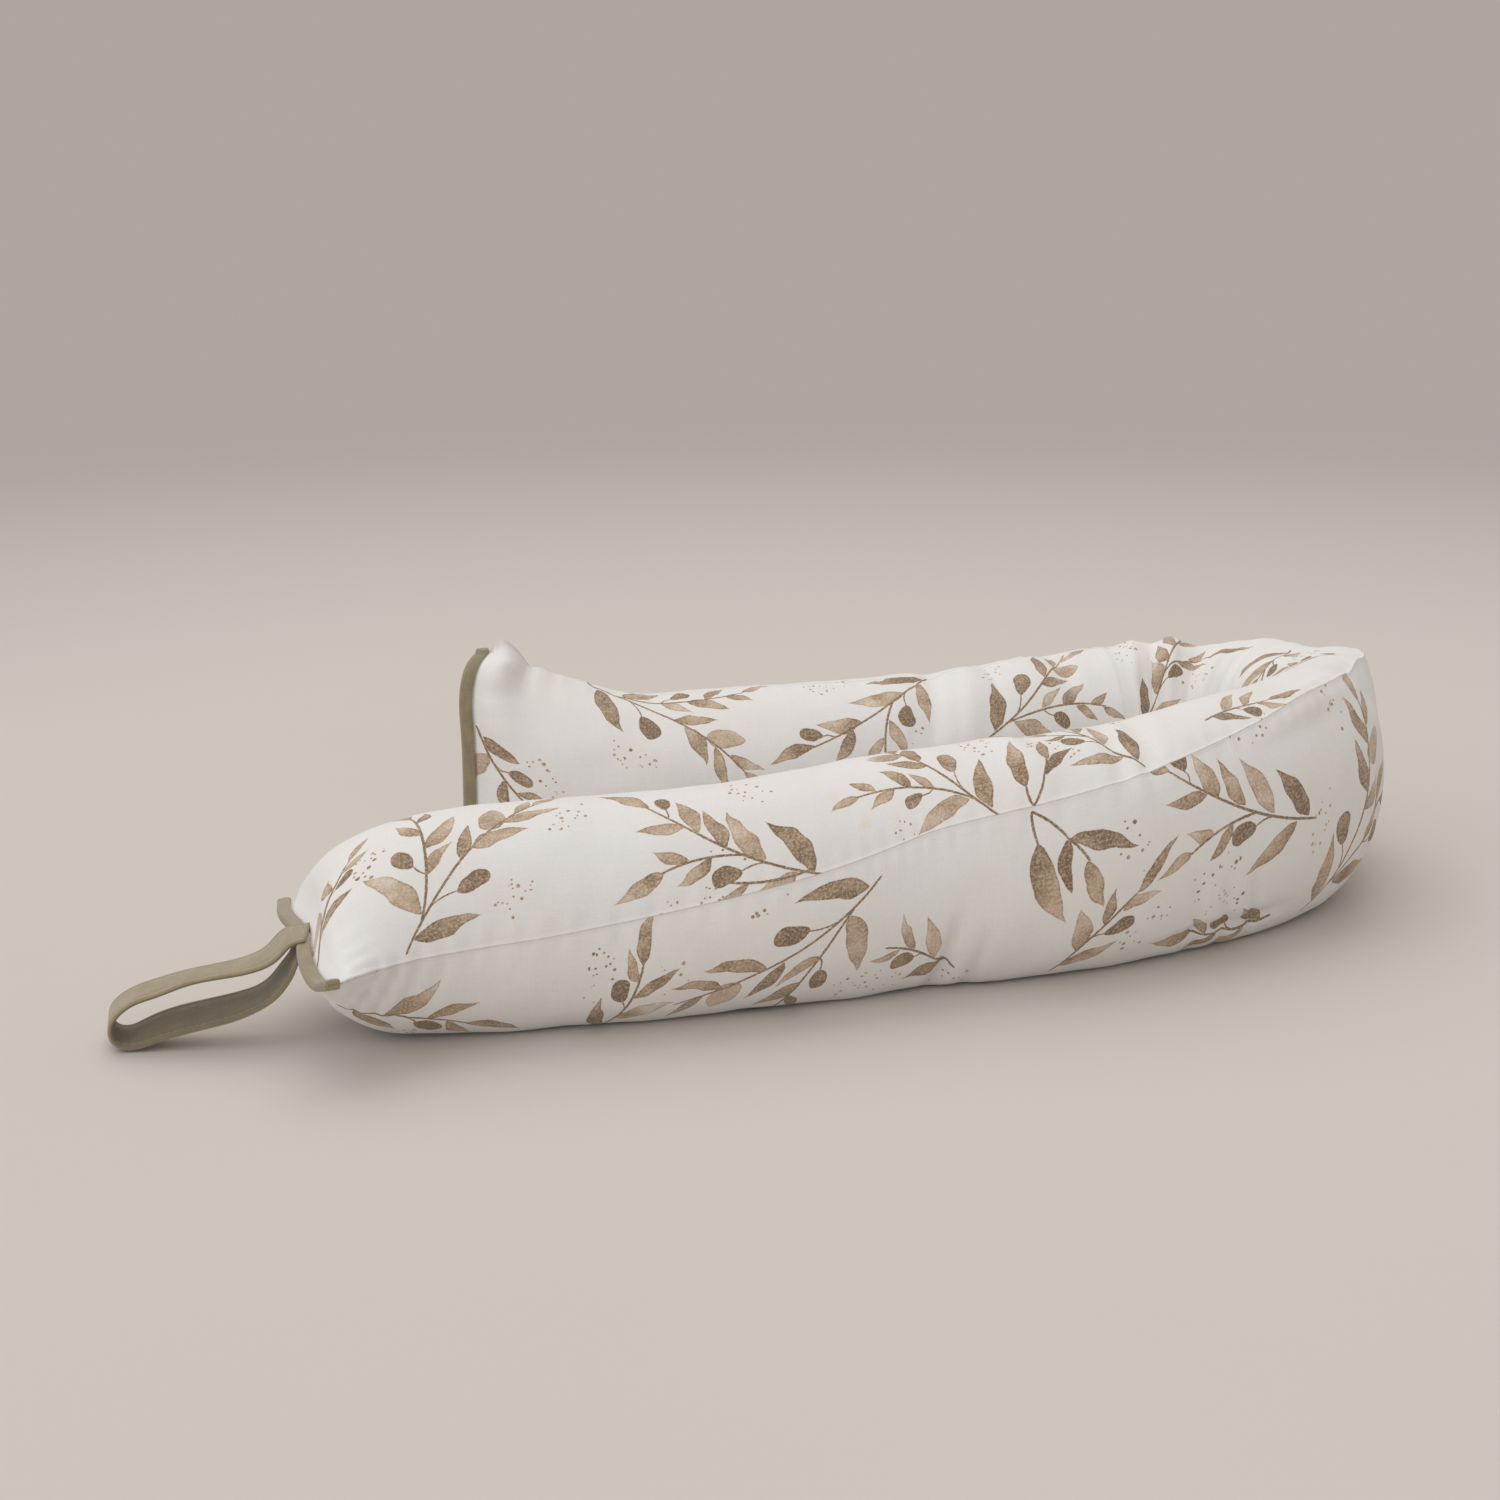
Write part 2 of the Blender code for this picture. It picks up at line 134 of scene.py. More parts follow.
# Finer creases that only the looks have, in the same columns
CREASES = (
    (0.0105, 0.965, 0.0013, 0.045, 0.0020, 0.0016),
    (0.0155, 0.960, 0.0014, 0.050, 0.0025, 0.0019),
    (0.0215, 0.955, 0.0016, 0.050, 0.0030, 0.0018),
    (0.0290, 0.950, 0.0018, 0.050, 0.0030, 0.0012),
    (0.0380, 0.950, 0.0020, 0.045, 0.0030, 0.0007),
    (0.2320, 0.820, 0.0030, 0.070, 0.0040, 0.0016),
    (0.2450, 0.790, 0.0030, 0.070, 0.0030, 0.0012),
    (0.3080, 0.030, 0.0018, 0.050, 0.0020, 0.0007),
    (0.3300, 0.760, 0.0028, 0.080, -0.0060, 0.0013),
    (0.3450, 0.740, 0.0026, 0.080, -0.0060, 0.0012),
    (0.3570, 0.750, 0.0024, 0.070, -0.0050, 0.0014),
    (0.5120, 0.110, 0.0016, 0.090, 0.0010, 0.0013),
    (0.5280, 0.115, 0.0016, 0.095, 0.0015, 0.0015),
    (0.5370, 0.110, 0.0015, 0.090, 0.0015, 0.0013),
    (0.5500, 0.100, 0.0016, 0.090, 0.0015, 0.0012),
    (0.5700, 0.110, 0.0014, 0.130, 0.0004, 0.0016),
    (0.5830, 0.110, 0.0012, 0.130, 0.0002, 0.0012),
    (0.6110, 0.030, 0.0055, 0.070, 0.0020, 0.0028),
    (0.6300, 0.040, 0.0130, 0.080, 0.0000, -0.0014),
    (0.6480, 0.060, 0.0020, 0.090, 0.0040, 0.0012),
    (0.6690, 0.100, 0.0022, 0.090, 0.0060, 0.0010),
    (0.6860, 0.080, 0.0024, 0.080, 0.0060, 0.0008),
    (0.8400, 0.010, 0.0020, 0.050, 0.0010, 0.0004),
)
# The carry loop's middle line: plan, height, and roll of the tape in degrees, front edge down. Its
# upper end lies about 2 mm further over the binding than on the solids.
LOOP_PATH = (
    (-0.1628, 0.9500, 0.0406, 0.0),
    (-0.1690, 0.9497, 0.0392, 2.0),
    (-0.1728, 0.9495, 0.0364, 6.0),
    (-0.1775, 0.9492, 0.0323, 2.0),
    (-0.1830, 0.9489, 0.0297, -1.0),
    (-0.1950, 0.9483, 0.0270, -4.0),
    (-0.2065, 0.9478, 0.0247, -4.0),
    (-0.2180, 0.9472, 0.0211, -1.0),
    (-0.2265, 0.9468, 0.0181, -1.0),
    (-0.2315, 0.9465, 0.0148, 0.0),
    (-0.2347, 0.9464, 0.0107, 2.0),
    (-0.2352, 0.9464, 0.0068, 3.0),
    (-0.2333, 0.9464, 0.0037, 4.0),
    (-0.2295, 0.9466, 0.0026, 5.0),
    (-0.2245, 0.9468, 0.0036, 9.0),
    (-0.2185, 0.9472, 0.0059, 12.0),
    (-0.2080, 0.9477, 0.0090, 13.0),
    (-0.1970, 0.9482, 0.0115, 12.0),
    (-0.1880, 0.9487, 0.0138, 10.0),
    (-0.1815, 0.9490, 0.0164, 7.0),
    (-0.1765, 0.9493, 0.0198, 8.0),
    (-0.1722, 0.9495, 0.0246, 10.0),
    (-0.1690, 0.9497, 0.0292, 6.0),
    (-0.1672, 0.9498, 0.0329, 2.0),
    (-0.1649, 0.9500, 0.0362, 0.0),
)
LOOP_FRONT = np.array([0.19, -0.98, 0.0])    # the tape lies across this level direction
ROUND = FLAT_WIDTH / math.pi
GIRTH = 2 * FLAT_WIDTH

# How fine the looks are
AROUND = 168              # cover points around the tube
CROWD = 0.72              # how much closer they stand at the long seams
PITCH = 0.0021            # between its rings
LIP_RINGS = 6
LOOP_RINGS = 150

# Stems of a sprig: where on the first stem it starts (share), its angle from that stem in degrees,
# its length and how far it bows to the left
STEMS = {
    "forked": ((0.00, 0, 0.078, 0.0045), (0.16, 31, 0.056, -0.0040)),
    "leafy": ((0.00, 0, 0.074, -0.0050), (0.42, -36, 0.030, 0.0022)),
    "small": ((0.00, 0, 0.042, 0.0028),),
    "hanging": ((0.00, 0, 0.016, 0.0008), (1.00, 4, 0.011, 0.0004), (0.00, -50, 0.011, -0.0006)),
}
# Leaves: stem, share along it, angle from it in degrees (left is positive), stalk, length, width,
# bluntness of the outline (1 is pointed, 0.5 is round), tone, and how much the tone fades to the tip
LEAVES = {
    "forked": (
        (0, 0.06, -42, 0.001, 0.0270, 0.0076, 1.27, 0.80, 0.27),
        (1, 0.04, 46, 0.001, 0.0260, 0.0083, 1.22, 0.70, 0.47),
        (0, 0.24, -32, 0.011, 0.0125, 0.0074, 0.60, 0.98, 0.10),
        (0, 0.38, -36, 0.001, 0.0240, 0.0072, 1.27, 0.62, 0.47),
        (0, 0.57, -32, 0.001, 0.0210, 0.0065, 1.22, 0.76, 0.22),
        (0, 0.77, -26, 0.001, 0.0220, 0.0052, 1.37, 0.66, 0.37),
        (0, 0.50, 30, 0.001, 0.0180, 0.0054, 1.32, 0.76, 0.22),
        (0, 0.70, 38, 0.001, 0.0150, 0.0094, 0.75, 0.58, 0.40),
        (0, 0.86, 28, 0.001, 0.0160, 0.0041, 1.32, 0.66, 0.32),
        (0, 0.98, 2, 0.000, 0.0220, 0.0047, 1.37, 0.62, 0.37),
        (1, 0.34, 40, 0.006, 0.0095, 0.0064, 0.60, 0.98, 0.00),
        (1, 0.32, -24, 0.001, 0.0160, 0.0045, 1.37, 0.58, 0.32),
        (1, 0.52, -28, 0.001, 0.0190, 0.0061, 1.22, 0.74, 0.32),
        (1, 0.66, 34, 0.001, 0.0150, 0.0047, 1.32, 0.68, 0.22),
        (1, 0.84, -34, 0.000, 0.0130, 0.0040, 1.32, 0.72, 0.32),
        (1, 0.97, 12, 0.000, 0.0150, 0.0040, 1.32, 0.62, 0.32),
    ),
    "leafy": (
        (0, 0.05, 38, 0.001, 0.0260, 0.0074, 1.22, 0.90, 0.12),
        (0, 0.13, -44, 0.001, 0.0240, 0.0065, 1.27, 0.68, 0.37),
        (0, 0.30, 35, 0.001, 0.0240, 0.0077, 1.22, 0.60, 0.47),
        (0, 0.30, -32, 0.009, 0.0115, 0.0070, 0.60, 0.98, 0.00),
        (0, 0.50, 36, 0.001, 0.0190, 0.0058, 1.32, 0.76, 0.22),
        (0, 0.67, 31, 0.001, 0.0200, 0.0065, 1.22, 0.64, 0.37),
        (0, 0.74, -34, 0.001, 0.0180, 0.0054, 1.27, 0.72, 0.32),
        (0, 0.86, 36, 0.005, 0.0100, 0.0066, 0.60, 0.98, 0.00),
        (0, 0.98, -4, 0.000, 0.0230, 0.0052, 1.37, 0.66, 0.32),
        (1, 0.34, -36, 0.001, 0.0170, 0.0054, 1.27, 0.70, 0.32),
        (1, 0.62, 30, 0.001, 0.0140, 0.0045, 1.32, 0.60, 0.32),
        (1, 0.97, 0, 0.000, 0.0210, 0.0058, 1.27, 0.68, 0.32),
    ),
    "small": (
        (0, 0.10, -42, 0.001, 0.0200, 0.0061, 1.27, 0.80, 0.22),
        (0, 0.30, 40, 0.001, 0.0210, 0.0070, 1.22, 0.60, 0.47),
        (0, 0.46, -34, 0.006, 0.0105, 0.0067, 0.60, 0.98, 0.00),
        (0, 0.62, 34, 0.001, 0.0180, 0.0050, 1.32, 0.70, 0.27),
        (0, 0.80, -30, 0.001, 0.0160, 0.0045, 1.32, 0.62, 0.32),
        (0, 0.98, 4, 0.000, 0.0210, 0.0054, 1.32, 0.72, 0.32),
    ),
    "hanging": (
        (2, 0.97, -3, 0.000, 0.0310, 0.0084, 1.05, 1.00, 0.55),
        (0, 0.95, -32, 0.001, 0.0240, 0.0080, 0.85, 1.00, 0.10),
        (0, 0.97, 30, 0.001, 0.0230, 0.0064, 1.20, 0.94, 0.05),
        (1, 0.95, -10, 0.000, 0.0190, 0.0060, 1.25, 0.68, 0.20),
        (1, 0.90, -50, 0.001, 0.0200, 0.0048, 1.30, 0.36, 0.20),
    ),
}
# Sprays of dots: stem, share along it, offset to the left, radius of the patch and number of dots
SPRAYS = {
    "forked": ((0, 0.44, -0.025, 0.008, 18), (0, 1.04, -0.015, 0.010, 20), (1, 0.60, 0.018, 0.006, 9)),
    "leafy": ((0, 0.60, 0.027, 0.009, 18), (1, 0.75, -0.015, 0.009, 16)),
    "small": ((0, 0.85, -0.016, 0.009, 18),),
    "hanging": ((1, 1.60, 0.013, 0.009, 16),),
}
# Where the sprigs are printed: panel (1 over the top or the inner side, -1 outside and below),
# along the tube and signed turn of the stem's foot, heading in degrees, size, side (-1 mirrors it)
SPRIG_COLUMNS = ("panel", "along", "turn", "heading", "size", "side", "design")
SPRIGS = (
    (1, 0.028, 0.012, 47, 0.98, 1, "forked"),
    (1, 0.005, 0.120, 62, 0.62, 1, "small"),
    (1, 0.178, -0.004, 142, 1.00, -1, "leafy"),
    (1, 0.174, 0.010, 172, 0.84, 1, "small"),
    (1, 0.252, -0.004, 122, 0.92, 1, "forked"),
    (1, 0.264, 0.000, 60, 0.74, -1, "hanging"),
    (1, 0.308, 0.012, 112, 0.86, -1, "leafy"),
    (1, 0.342, 0.044, -8, 0.80, 1, "small"),
    (1, 0.456, 0.040, 62, 0.80, 1, "small"),
    (1, 0.503, 0.060, 96, 0.90, -1, "leafy"),
    (1, 0.573, 0.190, -112, 0.86, 1, "leafy"),
    (1, 0.661, 0.168, -141, 0.96, -1, "forked"),
    (1, 0.673, -0.004, 34, 1.02, -1, "leafy"),
    (1, 0.826, 0.002, 141, 1.02, 1, "forked"),
    (1, 0.869, 0.120, 118, 0.84, -1, "small"),
    (-1, 0.008, -0.085, -14, 1.05, 1, "small"),
    (-1, 0.096, -0.205, 66, 0.98, -1, "small"),
    (-1, 0.198, -0.030, -157, 1.02, 1, "forked"),
    (-1, 0.236, -0.210, 150, 0.98, -1, "small"),
    (-1, 0.263, -0.006, -46, 1.05, 1, "hanging"),
    (-1, 0.274, -0.262, 50, 0.96, 1, "small"),
    (-1, 0.380, -0.150, 150, 1.02, -1, "leafy"),
    (-1, 0.370, -0.285, 172, 0.96, 1, "small"),
    (-1, 0.390, -0.310, 68, 1.00, -1, "forked"),
    (-1, 0.480, -0.040, -70, 0.96, 1, "leafy"),
    (-1, 0.496, -0.240, -28, 0.96, -1, "forked"),
    (-1, 0.600, -0.060, -132, 1.00, 1, "leafy"),
    (-1, 0.608, -0.300, 20, 0.96, 1, "forked"),
    (-1, 0.726, -0.030, -118, 1.00, -1, "forked"),
    (-1, 0.750, -0.330, 40, 1.00, 1, "leafy"),
    (-1, 0.846, -0.060, -140, 0.94, 1, "leafy"),
    (-1, 0.040, -0.360, 12, 1.00, 1, "leafy"),
    (-1, 0.170, -0.440, 28, 1.00, -1, "forked"),
    (-1, 0.300, -0.420, 10, 1.00, 1, "leafy"),
    (-1, 0.430, -0.440, 40, 0.96, -1, "small"),
    (1, 0.070, 0.300, 38, 1.00, 1, "leafy"),
    (1, 0.156, 0.260, 62, 1.00, -1, "forked"),
    (1, 0.250, 0.300, 30, 1.00, 1, "forked"),
    (1, 0.356, 0.240, 70, 0.90, -1, "leafy"),
    (1, 0.620, 0.400, 160, 0.90, 1, "small"),
    (1, 0.720, 0.300, 150, 0.98, -1, "forked"),
    (1, 0.830, 0.330, 160, 0.96, 1, "leafy"),
    (1, 0.410, 0.330, 60, 0.80, 1, "small"),
    (1, 0.540, 0.340, 100, 0.80, -1, "small"),
    (1, 0.100, 0.430, 30, 0.90, -1, "small"),
    (1, 0.210, 0.430, 20, 0.90, 1, "small"),
    (1, 0.330, 0.430, 30, 0.90, 1, "small"),
)
LEAF_SLOTS = 4            # printed shapes that one small face of the cover can show
LEAN = 0.74               # a leaf is widest nearer its foot
BUD = 0.70                # rounder shapes than this are buds, widest at the far end
STEM_WIDTH = 0.00095
STALK_WIDTH = 0.00060
STEM_LOOK = (0.12, 0.92, 0.20)     # bluntness, tone and fade
STALK_LOOK = (0.10, 0.9, 0.1)
LEAST_STALK = 0.002       # shorter ones aren't drawn
STALK_BOW = 0.0008
STALK_REACH = 0.96        # share of the stalk at which the leaf starts
# How much the leaves vary
LEAF_TURN = 6
LEAF_BOW = 0.09
TONE_RANGE = (0.84, 1.14)
LONG_RANGE = (0.92, 1.10)
WIDE_RANGE = (0.94, 1.10)
PRINT_SEED = 11
LEAF_ROOM = 0.0005        # between two printed leaves
TRIED_SIZES = (1.0, 0.82, 0.66)    # a leaf that would touch another is made smaller, or left out
EDGE_ROOM = 0.0004        # how far round a printed shape its face coordinates reach
DOT_SIZES = (0.00034, 0.00085)
SPRAY_LONG = 1.35         # a spray's patch of dots is longer than wide
SPRAY_WIDE = 0.75
# The ink: how ragged and how wavy its outlines are, how much it varies, and its colours
INK_RAGGED = 0.0005
INK_WAVY = 0.0024
MOTTLE = 0.60
BLOTCH = 0.95
RIM = 0.20
INK_STOPS = ((0.0, (1.0, 1.0, 1.0)), (0.34, (0.76, 0.61, 0.47)), (0.68, (0.49, 0.365, 0.255)),
             (1.0, (0.27, 0.195, 0.135)))
# Faint creamy stains: along the tube, distance round it, radius and strength
STAINS = (
    (0.1950, 0.0110, 0.0035, 0.55),
    (0.2060, 0.0120, 0.0070, 0.30),
    (0.1860, 0.0270, 0.0035, 0.35),
)
SEAM_LINE = 0.0004        # half the width of the painted shade line along the outer seam
STAIN = (0.74, 0.66, 0.50)
# colour of the painted shade line along the outer seam
SEAM_SHADE = (0.40, 0.36, 0.32)
WEAVE_PITCH = 0.00055     # between the cotton's threads
# Small relief of the sewn cloth, in metres
DETAIL_CLEAR = 0.006      # it dies out this close to an end seam
GROOVE_DEEP = 0.0003      # along the long seams
GROOVE_HALF = 0.0008
PUCKER_TALL = 0.00026
PUCKER_PITCH = 0.0092
PUCKER_OFF = 0.0035       # from a long seam
PUCKER_REACH = 0.0042
GATHER_PITCH = 0.0088     # gathers beside the end seams
GATHER_REACH = 0.011
LUMPS = ((26.0, 0.0011), (70.0, 0.0004))    # waves for each metre, and height
# Stitches, each a thread of three sections: its share of the thickness, and how far it is sunk
STITCH_PITCH = 0.0027
STITCH_LONG = 0.0020
STITCH_THICK = 0.00022
STITCH_SIDES = 6
STITCH_SECTIONS = ((0.35, 0.5), (1.0, 0.1), (0.35, 0.5))
STITCH_AT = 0.77          # share of the loop's half width at which its stitches run
LOOP_GROOVE = 0.00022     # the dent along them
BACKDROP = (0.415, 0.382, 0.352)
FLOOR_HALF = 9.0
FLOOR_DROP = 0.0002       # below the surface that the tube rests on
FADE_FROM = 0.45          # the floor turns into the backdrop between these distances
FADE_TO = 1.60
# Name, azimuth, elevation, spread, strength and colour
SUNS = (
    ("key", 14, 60, 60, 1.05, (1.0, 0.98, 0.96)),
    ("fill", 150, 38, 100, 1.45, (0.95, 0.98, 1.0)),
)
CAMERA_HEIGHT = 0.3475
CAMERA_LENS = 66.24
CAMERA_PITCH = 14.2       # degrees down
CAMERA_ROLL = 0.555


def natural_spline(knots, values, at):
    """A natural cubic spline through the rows of values."""
    count = len(knots)
    gap = np.diff(knots)[:, None]
    grid = np.zeros((count, count))
    right = np.zeros_like(values)
    grid[0, 0] = grid[-1, -1] = 1.0
    for i in range(1, count - 1):
        grid[i, i - 1:i + 2] = gap[i - 1, 0], 2 * (gap[i - 1, 0] + gap[i, 0]), gap[i, 0]
        right[i] = 6 * ((values[i + 1] - values[i]) / gap[i] - (values[i] - values[i - 1]) / gap[i - 1])
    bend = np.linalg.solve(grid, right)
    k = np.clip(np.searchsorted(knots, at) - 1, 0, count - 2)
    step = gap[k]
    late = (np.asarray(at) - knots[k])[:, None] / step
    early = 1 - late
    curve = (early ** 3 - early) * bend[k] + (late ** 3 - late) * bend[k + 1]
    return early * values[k] + late * values[k + 1] + curve * step ** 2 / 6


def smooth_line(rows, place_columns, power):
    """A fine smooth line through rows whose first columns are places, with the run along it."""
    steps = np.linalg.norm(np.diff(rows[:, :place_columns], axis=0), axis=1)
    knots = np.concatenate([[0.0], np.cumsum(steps ** power)])
    fine = natural_spline(knots, rows, np.linspace(0.0, knots[-1], FINE_STEPS))
    steps = np.linalg.norm(np.diff(fine[:, :place_columns], axis=0), axis=1)
    return fine, np.concatenate([[0.0], np.cumsum(steps)])


def read_line(fine, run, at):
    """The columns of a smooth line at the given places along it."""
    return np.stack([np.interp(at, run, column) for column in fine.T], axis=1)


def tube_line():
    """The centre line: its run, its section columns, its direction and how sharply it turns."""
    fine, run = smooth_line(np.array(SECTIONS), 2, 0.5)
    direction = np.gradient(fine[:, :2], run, axis=0)
    direction /= np.linalg.norm(direction, axis=1)[:, None]
    heading = np.unwrap(np.arctan2(direction[:, 1], direction[:, 0]))
    window = np.hanning(SMOOTHING)
    padded = np.pad(np.gradient(heading, run), SMOOTHING // 2, mode="edge")
    turning = np.convolve(padded, window / window.sum(), "valid")
    return run, np.column_stack([fine, heading, turning])


def soft_floor(z):
    """Flat at 0 below the blend, untouched above it."""
    blended = (z + FLOOR_BLEND) ** 2 / (4 * FLOOR_BLEND)
    return np.where(z <= -FLOOR_BLEND, 0.0, np.where(z >= FLOOR_BLEND, z, blended))


def pointing(way):
    """The unit vector of a heading."""
    return np.array([math.cos(way), math.sin(way)])


def fullness(share, power):
    """How far the tube has filled from flat (0) to round (1)."""
    share = min(max(share, 0.0), 1.0)
    return (1 - (1 - share) ** power) ** (1 / power)


def fold_depth(along, turn, folds):
    """How far the folds press the cloth in at each point of a ring."""
    depth = np.zeros_like(turn)
    for fold in folds:
        row = dict(zip(FOLD_COLUMNS, fold))
        off_turn = (turn - row["turn"] + 0.5) % 1.0 - 0.5
        line = row["along"] + row["slant"] * off_turn / row["half_turn"]
        across = np.exp(-((along - line) / row["half_along"]) ** 2)
        depth += row["depth"] * across * np.exp(-(off_turn / row["half_turn"]) ** 4)
    return depth


def ring(at, length, run, line, turns, folds=FOLDS):
    """The points of one ring of the cover at the given shares of a turn."""
    held = min(max(at, LIP_DEEP), length - LIP_DEEP)
    x, y, wide, tall, seam, plump, heading, turning = read_line(line, run, [held])[0]
    forward = pointing(heading)
    outward = np.array([forward[1], -forward[0]])
    near = at < length / 2
    from_seam = max(0.0, min(at, length - at) - LIP_DEEP)
    reach, power = NEAR_END if near else FAR_END
    half_angle = max(1e-4, fullness(from_seam / reach, power) * math.pi / 2 * min(plump, 1.0))
    radius = FLAT_WIDTH / (2 * half_angle)
    side = np.where(turns < 0.5, 1.0, -1.0)
    angle = half_angle * (1 - 4 * (turns % 0.5)) * side
    across = radius * np.sin(angle)
    height = radius * (np.cos(angle) - math.cos(half_angle)) * side
    share = np.clip(across / (radius * math.sin(half_angle)), -1.0, 1.0)
    at_seam = turns % 0.5 == 0.0
    skin_across = np.where(at_seam, side, np.sin(angle))
    skin_height = np.where(at_seam, 0.0, np.cos(angle) * side)
    depth = fold_depth(at, turns, folds) * min(1.0, from_seam / FOLD_CLEAR)
    across = across - depth * skin_across
    height = height - depth * skin_height
    tilt = math.radians(seam)
    u = (across * math.cos(tilt) - height * math.sin(tilt)) * wide
    v = (across * math.sin(tilt) + height * math.cos(tilt)) * tall
    u += (skin_across * math.cos(tilt) - skin_height * math.sin(tilt)) * LIP_THICK / 2
    v += (skin_across * math.sin(tilt) + skin_height * math.cos(tilt)) * LIP_THICK / 2
    table = np.array(NEAR_SEAM if near else FAR_SEAM)
    fade = max(0.0, 1 - from_seam / (SEAM_FADE * reach)) ** 2
    stand = natural_spline(table[:, 0], table[:, 1:], share) * fade
    along = stand[:, 0] * (-1 if near else 1) + (at - held)
    u += stand[:, 2] * math.cos(tilt) - stand[:, 1] * math.sin(tilt)
    v += stand[:, 2] * math.sin(tilt) + stand[:, 1] * math.cos(tilt)
    if turning > 0:
        room = max(INNER_ROOM / turning, LEAST_ROOM)
        u = np.where(u < 0, -room * np.tanh(-u / room), u)
    points = np.zeros((len(turns), 3))
    points[:, :2] = np.array([x, y]) - PLAN_CENTRE + np.outer(u, outward) + np.outer(along, forward)
    points[:, 2] = soft_floor(ROUND * tall - SINK + v)
    return points


def turns_around():
    """Shares of a turn for the cover's points, closer together at the two long seams."""
    even = np.arange(AROUND) / AROUND
    turns = even - CROWD * np.sin(4 * math.pi * even) / (4 * math.pi)
    turns[0], turns[AROUND // 2] = 0.0, 0.5
    return turns


TURNS = turns_around()


def cover_grid():
    """The cover's rings as an array, with where each ring stands along the tube."""
    run, line = tube_line()
    length = run[-1]
    lip = np.linspace(0.0, LIP_DEEP, LIP_RINGS, endpoint=False)
    count = int((length - 2 * LIP_DEEP) / PITCH)
    marks = np.concatenate([lip, np.linspace(LIP_DEEP, length - LIP_DEEP, count), length - lip[::-1]])
    grid = np.array([ring(at, length, run, line, TURNS, FOLDS + CREASES) for at in marks])
    return grid, marks, length


def bell(x, half):
    return np.exp(-(x / half) ** 2)


def surface_detail(grid, marks, length):
    """How far each point stands out from the smooth tube: seams, puckers, gathers and lumps."""
    along = marks[:, None]
    off_outer = ((TURNS[None, :] + 0.5) % 1.0 - 0.5) * GIRTH
    off_hidden = (TURNS[None, :] - 0.5) * GIRTH
    from_end = np.minimum(along, length - along) - LIP_DEEP
    body = np.clip(from_end / DETAIL_CLEAR, 0.0, 1.0)
    detail = np.zeros(grid.shape[:2])
    for off, phase in ((off_outer, 0.0), (off_hidden, 2.0)):
        wave = along / PUCKER_PITCH + 0.8 * np.sin(along / 0.031 + phase)
        pucker = np.sin(2 * math.pi * wave) + 0.5 * np.sin(2 * math.pi * wave * 1.73 + phase)
        detail -= GROOVE_DEEP * bell(off, GROOVE_HALF)
        detail += PUCKER_TALL * pucker * bell(np.abs(off) - PUCKER_OFF, PUCKER_REACH)
    gather = np.sin(2 * math.pi * (off_outer / GATHER_PITCH + 0.35 * np.sin(off_outer / 0.011)))
    detail += PUCKER_TALL * gather * bell(from_end, GATHER_REACH) * np.clip(from_end / 0.004, 0.0, 1.0)
    lumps = np.array([[sum(noise.noise(Vector(p) * waves) * tall for waves, tall in LUMPS)
                       for p in row] for row in grid])
    return (detail + lumps) * body


def grid_normals(grid):
    """Outward normals of the cover's points."""
    around = np.roll(grid, -1, axis=1) - np.roll(grid, 1, axis=1)
    ahead = np.gradient(grid, axis=0)
    normal = np.cross(around, ahead)
    return normal / np.maximum(np.linalg.norm(normal, axis=2, keepdims=True), 1e-12)


def quad_mesh(name, points, quads, extra=()):
    """An object of quads or other faces, and a few more faces, with smooth shading."""
    mesh = bpy.data.meshes.new(name)
    mesh.from_pydata(points.tolist(), [], [tuple(int(i) for i in q) for q in quads] + list(extra))
    mesh.shade_smooth()
    piece = bpy.data.objects.new(name, mesh)
    bpy.context.scene.collection.objects.link(piece)
    return piece


def corner_attribute(mesh, name, values):
    """Stores a vector for each face corner; the faces past the given ones keep zero."""
    attribute = mesh.attributes.new(name, "FLOAT_VECTOR", "CORNER")
    flat = np.zeros((len(mesh.loops), 3), np.float32)
    flat[:len(values)] = values
    attribute.data.foreach_set("vector", flat.ravel())


def placed(origin, heading, length, bow, share):
    """A point on a bowed line, and the line's heading there."""
    ahead = pointing(heading)
    left = np.array([-ahead[1], ahead[0]])
    point = origin + ahead * length * share + left * 4 * bow * share * (1 - share)
    return point, heading + math.atan2(4 * bow * (1 - 2 * share), length)


def leaf_discs(start, way, length, half):
    """Discs that fill a leaf: x, y and radius."""
    shares = np.array([0.22, 0.42, 0.62, 0.82, 1.0])
    wide = half * np.array([0.85, 1.0, 0.85, 0.5, 0.15])
    return np.column_stack([start[0] + math.cos(way) * length * shares,
                            start[1] + math.sin(way) * length * shares, wide])


def is_clear(discs, taken):
    """Whether discs keep their room from those of the leaves already printed."""
    if not len(taken):
        return True
    apart = np.hypot(discs[:, None, 0] - taken[None, :, 0], discs[:, None, 1] - taken[None, :, 1])
    return bool((apart > discs[:, None, 2] + taken[None, :, 2] + LEAF_ROOM).all())


